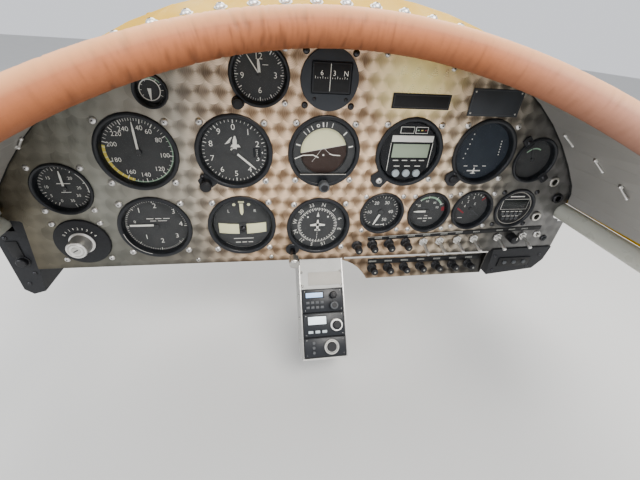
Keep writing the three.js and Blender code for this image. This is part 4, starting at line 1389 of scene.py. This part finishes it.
def bus_bar(piece, place, spots, level):
    """A brass bar behind a row of switches, with four screws."""
    first, last = spots[0], spots[-1]
    piece.add(block(last - first + 18, 12.4, level, level + 3.4, 0.4, x=(first + last) / 2), place, "brass")
    for x in steps(first, last, 4):
        round_screw(piece, moved(back_of(place, -level), -x, 0), "satin_steel", 2.6)


def label_strip(piece, place, length, height, blanks, wide, tall):
    """A black strip with a blank pale label for each device."""
    piece.add(block(length, height, 0.3, 0.85, 0.15), place, "label_black")
    for x in blanks:
        piece.add(block(wide, tall, 0.6, 0.95, 0.1, x=x, y=0.3), place, "label_grey")
        piece.add(block(wide - 1.6, 0.4, 0.6, 1.0, 0, x=x, y=0.3), place, "label_black")


def breaker_row(name, node, place, spots, depth, bus_level):
    piece = Piece(name)
    for x in spots:
        build_breaker(piece, moved(place, x, 0), depth)
    bus_bar(piece, place, spots, bus_level)
    piece.done("control_plastic", node)


def build_switches():
    row = moved(rolled(on_panel(*UPPER_ROW), ROW_RISE), -UPPER_ROW[0], 0)
    breaker_row("upper_breakers", "upper_breaker_row", row, BREAKERS_UPPER, 27.0, -31.0)

    piece = Piece("toggle_switches")
    for x in TOGGLES:
        build_toggle(piece, rolled(moved(row, x, 0), -ROW_RISE))
    bus_bar(piece, row, TOGGLES, -29.0)
    piece.done("bright_steel", "toggle_row")

    slope = on_slope(0, *SWITCH_ROW, SWITCH_SLOPE)
    breaker_row("lower_breakers", "lower_breaker_row", slope, BREAKERS_LOWER, 23.5, -27.6)

    piece = Piece("upper_label")
    x, z, rise = UPPER_LABEL
    strip_place = rolled(on_panel(x, z), rise)
    label_strip(piece, strip_place, 255.0, 6.0, [spot - x for spot in UPPER_BLANKS], 10.0, 2.0)
    # Painted highlight: a bright steel line along the strip's top edge stands for the light that edge
    # catches
    piece.add(block(135.0, 0.9, 0.6, 1.05, 0.1, x=-61.0, y=2.5), strip_place, "satin_steel")
    piece.done("label_plastic", "upper_label_strip")

    piece = Piece("lower_label")
    blanks = [spot - LOWER_LABEL_X for spot in BREAKERS_LOWER]
    label_strip(piece, moved(slope, LOWER_LABEL_X, 10.1), 172.0, 7.2, blanks, 11.0, 2.4)
    piece.done("label_plastic", "lower_label_strip")


def blank_plate(name, node, finish_name, rivets):
    """A blank engraved plate with a fine border line."""
    low, high = layout_box(node)
    place = at_node(node)
    piece = Piece(name)
    piece.add(block(high.x - low.x, high.z - low.z, 0.3, -low.y, 0.25), place, finish_name)
    w, h, level = (high.x - low.x) / 2 - 1.6, (high.z - low.z) / 2 - 1.6, -low.y + 0.04
    border = ((-w, -h), (w, -h), (w, h), (-w, h), (-w, -h))
    for a, b in zip(border, border[1:]):
        piece.add(patch(strip(a, b, 0.3), level), place, "case_grey")
    if rivets:
        for sx, sy in CORNERS:
            there = moved(place, sx * (w - 1.6), sy * (h - 1.6), level)
            piece.turn([(0, 0.5), (0.7, 0.4), (1.1, 0), (0, 0)], 12, there, "satin_steel")
    piece.done("label_plastic", node)


# Small fittings: the turned shapes of the jacks, the button and the lamp

JACK = ((0, -30), (5.0, -30), (5.0, -0.3), (5.0, 0.3), (6.9, 0.3), (6.9, 2.2), (6.4, 3.0), (5.4, 3.4),
        (4.2, 3.4), (3.7, 3.0), (3.5, 2.0), (3.4, -8.0), (0, -8.0))
JACK_FLOOR = ((0, -7.8), (3.3, -7.8), (3.3, -7.6), (0, -7.6))
BUTTON_BODY = ((0, -26), (3.4, -26), (3.4, 0.3), (5.2, 0.3), (5.2, 1.4), (4.4, 2.4), (3.4, 2.6), (3.2, 2.0),
               (0, 2.0))
BUTTON_TOP = ((0, 6.0), (1.8, 5.9), (2.5, 5.3), (2.6, 1.6), (0, 1.6))
LAMP_BODY = ((0, -22), (3.2, -22), (3.2, 0.3), (4.8, 0.3), (4.8, 1.2), (4.0, 2.2), (3.2, 2.4), (3.0, 1.8),
             (0, 1.8))
LAMP_LENS = ((0, 4.0), (1.4, 3.8), (2.4, 3.0), (2.8, 1.6), (0, 1.6))


def turned_fitting(node, slot, *parts):
    """A fitting of turned parts, each with its profile, steps and finish."""
    piece = Piece(node + "_dressed")
    for profile, count, name in parts:
        piece.turn(profile, count, at_node(node), name)
    piece.done(slot, node)


def build_fittings():
    for node, name in (("phone_jack", "satin_steel"), ("microphone_jack", "satin_steel"),
                       ("spare_jack", "dark_steel")):
        turned_fitting(node, "bright_steel", (JACK, 40, name), (JACK_FLOOR, 24, "label_black"))

    piece = Piece("dimmer_knob_dressed")
    place = at_node("dimmer_knob")
    knob(piece, place, 6.4, 12.4, shaft=3.8, reach=0.5)
    piece.add(block(0.8, 4.4, 12.9, 13.35, 0, y=3.2), place, "dial_white")
    piece.turn([(0, -24), (6.0, -24), (6.0, -6), (0, -6)], 28, place, "case_grey")
    piece.done("control_plastic", "dimmer_knob")

    turned_fitting("push_button", "bright_steel", (BUTTON_BODY, 32, "bright_steel"),
                   (BUTTON_TOP, 28, "satin_steel"))
    turned_fitting("panel_lamp", "control_plastic", (LAMP_BODY, 32, "dark_steel"),
                   (LAMP_LENS, 28, "display_dark"))


# Radios in the console


def radio_face(name, row, height):
    """A unit's body, bezel and corner screws: gives the piece and the place of its middle."""
    piece = Piece(name)
    centre = on_console(CONSOLE_X, UNITS_START + UNIT_PITCH * row + height / 2 + 0.1)
    piece.add(block(UNIT_WIDTH, height, -44.0, 1.2, 0.5), centre, "black_crackle")
    piece.add(block(UNIT_WIDTH - 1.6, height - 1.6, 0.8, 2.5, 0.8), centre, "black_enamel")
    for sx, sy in CORNERS:
        there = moved(centre, sx * (UNIT_WIDTH / 2 - 3.4), sy * (height / 2 - 3.2), 1.6)
        round_screw(piece, there, "satin_steel", 1.4)
    return piece, centre


def build_console():
    paint_node("console_frame", "console_grey")
    piece, centre = radio_face("upper_radio_dressed", 0, 30.5)
    piece.add(block(25.0, 8.4, 2.0, 2.9, 0.4, x=-11.0, y=7.4), centre, "label_black")
    piece.add(block(22.4, 6.2, 2.2, 3.0, 0.2, x=-11.0, y=7.4), centre, "display_blue")
    for i in range(4):
        for j in range(2):
            key = block(4.6, 3.4, 2.2, 3.8, 0.5, x=-20.0 + 6.2 * i, y=-2.2 - 6.2 * j)
            piece.add(key, centre, "case_grey")
    knob(piece, moved(centre, 14.0, 6.6, 2.0), 4.6, 5.4, shaft=1.6, reach=0.6)
    knob(piece, moved(centre, 14.0, -6.8, 2.0), 5.4, 6.6, "case_grey", shaft=1.6, reach=0.6)
    piece.done("control_plastic", "upper_radio")

    piece, centre = radio_face("lower_radio_dressed", 1, 30.5)
    piece.add(block(26.0, 12.4, 2.0, 2.9, 0.4, x=-9.0, y=5.8), centre, "label_black")
    piece.add(block(23.6, 10.0, 2.2, 3.0, 0.2, x=-9.0, y=5.8), centre, "display_pale")
    for i in range(3):
        piece.add(block(6.2, 3.6, 2.2, 4.0, 0.6, x=-18.0 + 9.0 * i, y=-8.4), centre, "button_pale")
    there = moved(centre, 16.0, -1.0)
    piece.turn([(0, 2.0), (8.2, 2.0), (8.2, 4.2), (7.6, 4.8), (6.6, 4.8), (0, 4.8)], 40, there,
               "bright_steel")
    knob(piece, moved(there, 0, 0, 4.6), 5.8, 5.0, shaft=1.6, reach=0.0)
    piece.done("control_plastic", "lower_radio")

    piece, centre = radio_face("console_unit_dressed", 2, 24.5)
    there = moved(centre, 8.0, 0)
    piece.turn([(0, 2.2), (9.8, 2.2), (9.8, 4.0), (9.2, 4.6), (8.0, 4.6), (7.4, 4.0), (0, 4.0)], 48, there,
               "satin_steel")
    piece.turn([(0, 6.2), (5.4, 6.2), (6.2, 5.4), (6.2, 3.6), (0, 3.6)], 40, there, "knob_black")
    for y in (6.0, 0.0, -6.0):
        piece.turn([(0, 4.4), (1.6, 4.3), (2.0, 3.8), (2.0, 2.2), (0, 2.2)], 20, moved(centre, -15.0, y),
                   "case_grey")
    piece.done("control_plastic", "console_unit")
    console_trim()


def console_trim():
    """The blank pale placard, the bright edges and the screws of the console."""
    piece = Piece("console_trim")
    placard = on_console(CONSOLE_X, 31.0)
    piece.add(block(44.0, 17.0, 0.1, 0.7, 0.2, x=4.5), placard, "label_white")
    for sx, sy in CORNERS:
        round_screw(piece, moved(placard, sx * 26.0, sy * 9.0, 0.1), "satin_steel", 1.8)
    for x, proud, name in ((33.2, 0.9, "bright_steel"), (-24.2, 0.5, "satin_steel")):
        piece.add(block(1.6, 130.0, -1.0, proud, 0.3), on_console(x, 67.0), name)
    for side, x in ((-1, -25.2), (1, 34.2)):
        for along in (52.0, 82.0, 112.0):
            place = moved(on_console(x, along), 0, 0, -20.0) @ Matrix.Rotation(side * math.pi / 2, 4, "Y")
            round_screw(piece, place, "satin_steel", 2.4)
    piece.done("bright_steel")


# Roll, deck, linings and tubes


def roll_line(x):
    """Middle of the padded roll."""
    return Vector((x + SHELL_X, ROLL_Y - ROLL_SWEEP * (x / ARCH_REACH) ** 2, arch(ROLL_ARCH, x)))


def roll_axes(x):
    """Directions along the padded roll, to its side and to its top."""
    ahead = (roll_line(x + 1) - roll_line(x - 1)).normalized()
    side = ahead.cross(UP).normalized()
    return ahead, side, side.cross(ahead).normalized()


def leather_relief(x, turn, wrinkle):
    """Radius of the leather, and depth of its creases from 0 to 1, at a spot along and round the roll."""
    c, s = math.cos(turn), math.sin(turn)
    ripple = noise.noise(Vector((x / 3.2, c * 0.9, s * 0.9 + 7.0)))
    finer = noise.noise(Vector((x / 1.7, c * 1.6, s * 1.6 + 31.0)))
    patchy = 0.3 + 0.6 * max(noise.noise(Vector((x / 55.0, c * 0.5, 3.0))) + 0.35, 0.0)
    patchy += 1.5 * math.exp(-((x + 90.0) / 70.0) ** 2)
    fold = max(ripple, 0.0) ** 1.5 * patchy + 0.35 * max(finer, 0.0) * patchy
    swell = 0.45 * noise.noise(Vector((x / 46.0, c, s)))
    seam = 1.1 * math.exp(-((turn - SEAM_TURN) / 0.09) ** 2)
    end = 2.6 * max((abs(x) - (ROLL_HALF - 6.0)) / 6.0, 0.0) ** 2
    radius = ROLL_SKIN + swell * 0.5 - wrinkle * 2.2 * fold - seam - end
    return radius, min(fold * 1.6 + seam * 0.5, 1.0)


def build_roll():
    """The padded roll: a grid rolled round the roll's line, creased round its girth and sunk at its seam."""
    wrinkle = bpy.context.scene.panel_finish.wrinkle
    bm = bmesh.new()
    bmesh.ops.create_grid(bm, x_segments=520, y_segments=56, size=1.0, calc_uvs=True)
    crease = bm.verts.layers.float.new("crease")
    girth_height = bm.verts.layers.float.new("girth_height")
    for vert in bm.verts:
        x = vert.co.x * ROLL_HALF
        turn = vert.co.y * math.pi
        _, side, top = roll_axes(x)
        radius, vert[crease] = leather_relief(x, turn, wrinkle)
        # How high round the girth each spot lies, for the leather's painted highlight on top and painted
        # shade below
        vert[girth_height] = 0.5 + 0.5 * math.sin(turn)
        vert.co = roll_line(x) + (side * math.cos(turn) + top * math.sin(turn)) * radius
    bmesh.ops.remove_doubles(bm, verts=bm.verts, dist=0.02)
    bmesh.ops.holes_fill(bm, edges=[edge for edge in bm.edges if edge.is_boundary], sides=0)
    bmesh.ops.recalc_face_normals(bm, faces=bm.faces)
    for face in bm.faces:
        face.smooth = True
    mesh = plain_mesh("coaming_roll_dressed", bm, ["coaming_leather"])
    roll = settle(mesh, "leather", "coaming_roll")


def build_stitching():
    """Two rows of stitches beside the roll's seam."""
    piece = Piece("roll_stitching")
    for i in range(121):
        x = 8.0 - ROLL_HALF + 5.2 * i
        ahead, side, top = roll_axes(x)
        for turn in (SEAM_TURN - 0.17, SEAM_TURN + 0.17):
            out = side * math.cos(turn) + top * math.sin(turn)
            place = facing(ahead, out.cross(ahead), out, roll_line(x) + out * ROLL_SKIN)
            piece.add(block(3.6, 0.8, -0.3, 0.3, 0.25, 1), place, "label_white")
    piece.done("leather")


def on_rear_slope(x):
    """Place half way up the deck's slope between the padded roll and the panel's face."""
    def halfway(at):
        ahead = roll_axes(at)[0]
        normal = Vector((-ahead.z, 0, ahead.x)).normalized()
        low = roll_line(at) + normal * 6.0 + Vector((0, 14.8 / math.sqrt(1 - ahead.y ** 2), 0))
        high = Vector((at + SHELL_X, 0, arch(DECK_ARCH, at)))
        return (low + high) / 2, high - low

    centre, slope = halfway(x)
    across = (halfway(x + 1)[0] - halfway(x - 1)[0]).normalized()
    out = across.cross(slope).normalized()
    return facing(across, out.cross(across), out, centre)


def washed_screw(piece, place):
    """A round head on a washer."""
    piece.turn([(0, 0.7), (4.9, 0.7), (5.4, 0.4), (5.4, 0.0), (0, 0.0)], 28, place, "satin_steel")
    round_screw(piece, moved(place, 0, 0, 0.7), "bright_steel", 4.0)


def build_deck():
    paint_node("deck_skin", "yellow_enamel")
    paint_node("front_former", "frame_grey")
    paint_node("panel_frame", "frame_grey")
    piece = Piece("deck_screws")
    for x in range(-312, 313, 24):
        washed_screw(piece, on_arch(DECK_ARCH, x, 133.5))
    for x in range(-297, 298, 25):
        washed_screw(piece, on_rear_slope(x))
    for x in range(-300, 301, 20):
        piece.turn([(0, 0.7), (1.2, 0.6), (2.0, 0.3), (2.4, 0.02), (0, 0.02)], 16,
                   on_arch(DECK_ARCH, x, 7.0), "yellow_enamel")
    piece.done("bright_steel")

    piece = Piece("former_bolts")
    for x in range(-288, 289, 48):
        drop = Vector((rise_of(DECK_ARCH, x), 0, -1)).normalized() * 19.0
        place = on_panel(x + SHELL_X + drop.x, arch(DECK_ARCH, x) + drop.z, -130.0)
        piece.add(hex_nut(5.0, 3.6, 2.6, 0.4), place, "satin_steel")
        piece.turn([(0, 0), (6.4, 0), (6.4, 0.9), (0, 0.9)], 28, place, "satin_steel")
        piece.turn([(0, 4.2), (2.4, 4.2), (2.4, 6.2), (2.0, 6.6), (0, 6.6)], 20, place, "satin_steel")
    piece.done("bright_steel")


# Clips along each lining: distance from the middle, and place along Y from the panel's face
CLIPS = ((275.5, -20.8), (292.5, -54.7), (309.7, -80.8), (-290.2, -7.5), (-303.0, -44.0), (-314.0, -78.0))


def build_linings():
    paint_node("left_side_lining", "lining_paint")
    paint_node("right_side_lining", "lining_paint")
    paint_node("panel_edge_seal", "seal_rubber")
    piece = Piece("lining_fasteners")
    for x, y in CLIPS:
        place = on_arch(PANEL_ARCH, x, y, -1.0)
        piece.turn([(0, 1.8), (2.2, 1.7), (3.0, 1.1), (3.2, 0.1), (0, 0.1)], 28, moved(place, 6.5, 3.0),
                   "satin_steel")
        lean = rolled(place, math.radians(25))
        piece.add(block(15.0, 2.5, 0.6, 2.6, 0.8, 3), lean, "bright_steel")
        for end in (-7.5, 7.5):
            piece.turn([(0, 3.2), (1.2, 2.9), (1.9, 1.8), (1.5, 0.6), (0, 0.2)], 20, moved(lean, end, 0),
                       "bright_steel")
    piece.done("bright_steel")


# Outline of a frame tube's wall, its ends eased: radius and distance along the tube
TUBE_WALL = ((8.5, -212.6), (9.0, -213.0), (10.6, -213.0), (11.0, -212.6), (11.0, 139.6), (10.6, 140.0),
             (9.0, 140.0), (8.5, 139.6), (8.5, -212.6))


def build_tubes():
    for x, node in TUBES:
        piece = Piece(node + "_dressed")
        place = Matrix(((1, 0, 0, x), (0, 0, 1, 0), (0, -1, 0, TUBE_Z), (0, 0, 0, 1)))
        piece.turn(TUBE_WALL, 48, place, "tube_white")
        piece.done("tube_paint", node)


PLATE_SCREWS = ((-206, 58), (-120, 92), (55, 97), (127, 88), (-150, -137), (-60, -137))


def build_panel():
    paint_node("panel_plate", "swirled_metal")
    paint_node("lower_switch_plate", "swirled_metal")
    piece = Piece("panel_screws")
    for x, z in PLATE_SCREWS:
        round_screw(piece, on_panel(x, z), "satin_steel", 3.0)
    # Painted highlight: the lip along the panel sheet's lower edge is a bright steel bar, standing for the
    # light it catches from above
    piece.add(block(216.0, 3.0, -2.8, 0.6, 0.5), on_panel(145.0, -144.6), "bright_steel")
    piece.done("bright_steel")
    blank_plate("name_plate_dressed", "name_plate", "label_black", False)
    blank_plate("placard_dressed", "placard", "placard_grey", True)


# The two boxes under the panel's ends: how far their faces stand out, and their screws
RIGHT_BOX_PROUD = 2.0
RIGHT_BOX_SCREWS = ((266, -152), (340, -152), (270, -178), (328, -174))
LEFT_BOX_PROUD = -3.6
LEFT_BOX_SCREWS = ((-349, -100), (-349, -165), (-338, -150), (-322, -100))


def build_side_box():
    paint_node("side_box", "black_crackle")
    paint_node("left_side_box", "black_crackle")
    piece = Piece("side_box_details")
    for spots, proud in ((RIGHT_BOX_SCREWS, RIGHT_BOX_PROUD), (LEFT_BOX_SCREWS, LEFT_BOX_PROUD)):
        for x, z in spots:
            round_screw(piece, on_panel(x, z, proud), "dark_steel", 2.4)
    piece.turn([(0, 6.0), (4.4, 5.8), (5.4, 5.0), (5.8, 1.2), (7.4, 0.9), (7.4, -0.1), (0, -0.1)], 32,
               on_panel(-343, -132, LEFT_BOX_PROUD), "knob_black")
    piece.add(block(12.0, 22.0, -0.1, 1.0, 0.5), on_panel(-345, -115, LEFT_BOX_PROUD), "label_black")
    piece.add(block(52.0, 16.0, 0.0, 1.4, 0.6), on_panel(300, -163, RIGHT_BOX_PROUD), "label_black")
    for x in (284, 300, 316):
        piece.turn([(0, 3.6), (2.2, 3.5), (3.0, 2.8), (3.2, 1.2), (0, 1.2)], 24,
                   on_panel(x, -163, RIGHT_BOX_PROUD), "case_grey")
    piece.done("control_plastic")


# Stage

# The camera: sensor width in millimetres, place in metres, and its right, forward and up directions
SENSOR = 36.0
CAMERA_PLACE = (-0.068927, -0.485522, -0.009053)
CAMERA_RIGHT = Vector((0.98626187, -0.15333853, 0.06143953))
CAMERA_AHEAD = Vector((0.16172886, 0.82059735, -0.54814575))
CAMERA_UP = Vector((0.03363475, 0.5505518, 0.83412314))

# The floor, in metres: how far below the piece it lies, and half its width
FLOOR_DROP = 0.02
FLOOR_HALF = 6.0
SKY_COLOUR = (0.93, 0.95, 1.0, 1.0)
EXPOSURE = 0.42

# Lamps: name, place, target, size, share of the key lamp's power, colour
LAMPS = (
    ("key", (0.5, -1.1, 1.3), (0.05, -0.15, -0.05), (1.2, 1.0), 1.0, (1.0, 0.97, 0.92)),
    ("front_sky", (0.2, 0.9, 1.2), (0, -0.25, -0.05), (2.0, 1.4), 0.85, (1.0, 0.96, 0.90)),
    ("fill", (-1.2, -0.9, 0.6), (0, -0.1, -0.1), (1.0, 1.0), 0.4, (0.93, 0.96, 1.0)),
)


def area_lamp(name, place, target, size, power, colour):
    data = bpy.data.lights.new(name, "AREA")
    data.shape = "RECTANGLE"
    data.size, data.size_y = size
    data.energy = power
    data.color = colour
    lamp = bpy.data.objects.new(name, data)
    bpy.context.scene.collection.objects.link(lamp)
    lamp.location = place
    lamp.rotation_euler = (Vector(target) - lamp.location).to_track_quat("-Z", "Y").to_euler()


class PANEL_OT_stage(bpy.types.Operator):
    """Adds the camera, the floor, the sky and the lamps"""

    bl_idname = "panel_scene.stage"
    bl_label = "Stage"

    def execute(self, context):
        look = context.scene.panel_stage
        data = bpy.data.cameras.new("camera")
        data.sensor_width = SENSOR
        data.lens = look.lens
        data.clip_start = 0.01
        camera = bpy.data.objects.new("camera", data)
        context.scene.collection.objects.link(camera)
        camera.matrix_world = facing(CAMERA_RIGHT, CAMERA_UP, -CAMERA_AHEAD, CAMERA_PLACE)
        context.scene.camera = camera

        low = CAD_BOX[0][2] - FLOOR_DROP
        bm = bmesh.new()
        bmesh.ops.create_grid(bm, x_segments=1, y_segments=1, size=FLOOR_HALF,
                              matrix=Matrix.Translation((0, 0, low)))
        mesh = bpy.data.meshes.new("floor")
        bm.to_mesh(mesh)
        bm.free()
        mesh.materials.append(coated("floor_paint", look.floor, 0.7, 0.02, 4.0))
        floor = bpy.data.objects.new("floor", mesh)
        context.scene.collection.objects.link(floor)

        world = bpy.data.worlds.new("sky")
        world.use_nodes = True
        back = world.node_tree.nodes["Background"]
        back.inputs["Color"].default_value = SKY_COLOUR
        back.inputs["Strength"].default_value = look.sky
        context.scene.world = world
        context.scene.view_settings.look = "AgX - Medium High Contrast"
        context.scene.view_settings.exposure = EXPOSURE
        for name, place, target, size, share, colour in LAMPS:
            area_lamp(name, place, target, size, look.key * share, colour)
        return {"FINISHED"}


class PANEL_OT_panel(bpy.types.Operator):
    """Finishes the panel sheet and adds its screws and plates"""

    bl_idname = "panel_scene.panel"
    bl_label = "Panel sheet"

    def execute(self, context):
        build_panel()
        return {"FINISHED"}


class PANEL_OT_instruments(bpy.types.Operator):
    """Builds the instruments with their dials"""

    bl_idname = "panel_scene.instruments"
    bl_label = "Instruments"

    def execute(self, context):
        for face in FACES:
            build_instrument(*face)
        build_ignition()
        return {"FINISHED"}


class PANEL_OT_switches(bpy.types.Operator):
    """Builds the breakers, toggles and label strips"""

    bl_idname = "panel_scene.switches"
    bl_label = "Switch rows"

    def execute(self, context):
        build_switches()
        return {"FINISHED"}


class PANEL_OT_fittings(bpy.types.Operator):
    """Builds the jacks, the dimmer knob, the button, the lamp and the side box's details"""

    bl_idname = "panel_scene.fittings"
    bl_label = "Small fittings"

    def execute(self, context):
        build_fittings()
        build_side_box()
        return {"FINISHED"}


class PANEL_OT_console(bpy.types.Operator):
    """Builds the radios in the console"""

    bl_idname = "panel_scene.console"
    bl_label = "Console"

    def execute(self, context):
        build_console()
        return {"FINISHED"}


class PANEL_OT_coaming(bpy.types.Operator):
    """Builds the padded leather roll with its stitching"""

    bl_idname = "panel_scene.coaming"
    bl_label = "Padded coaming"

    def execute(self, context):
        build_roll()
        build_stitching()
        return {"FINISHED"}


class PANEL_OT_shell(bpy.types.Operator):
    """Finishes the deck, the linings, the seal and the frame tubes"""

    bl_idname = "panel_scene.shell"
    bl_label = "Deck, linings and tubes"

    def execute(self, context):
        build_deck()
        build_linings()
        build_tubes()
        return {"FINISHED"}


STEPS = ("stage", "panel", "instruments", "switches", "fittings", "console", "coaming", "shell")


class PANEL_PT_build(bpy.types.Panel):
    """Lists the steps that build the panel"""

    bl_idname = "PANEL_PT_build"
    bl_label = "Aircraft instrument panel"
    bl_space_type = "VIEW_3D"
    bl_region_type = "UI"
    bl_category = "Panel"

    def draw(self, context):
        for group in (context.scene.panel_finish, context.scene.panel_stage):
            for key in group.bl_rna.properties.keys():
                if key not in ("rna_type", "name"):
                    self.layout.prop(group, key)
        for step in STEPS:
            self.layout.operator("panel_scene." + step)


CLASSES = (
    PanelFinish, PanelStage, PANEL_OT_stage, PANEL_OT_panel, PANEL_OT_instruments, PANEL_OT_switches,
    PANEL_OT_fittings, PANEL_OT_console, PANEL_OT_coaming, PANEL_OT_shell, PANEL_PT_build,
)


def register():
    for kind in CLASSES:
        bpy.utils.register_class(kind)
    bpy.types.Scene.panel_finish = bpy.props.PointerProperty(type=PanelFinish)
    bpy.types.Scene.panel_stage = bpy.props.PointerProperty(type=PanelStage)


def unregister():
    del bpy.types.Scene.panel_stage
    del bpy.types.Scene.panel_finish
    for kind in reversed(CLASSES):
        bpy.utils.unregister_class(kind)


def main():
    register()
    for step in STEPS:
        getattr(bpy.ops.panel_scene, step)()


if __name__ == "__main__":
    main()
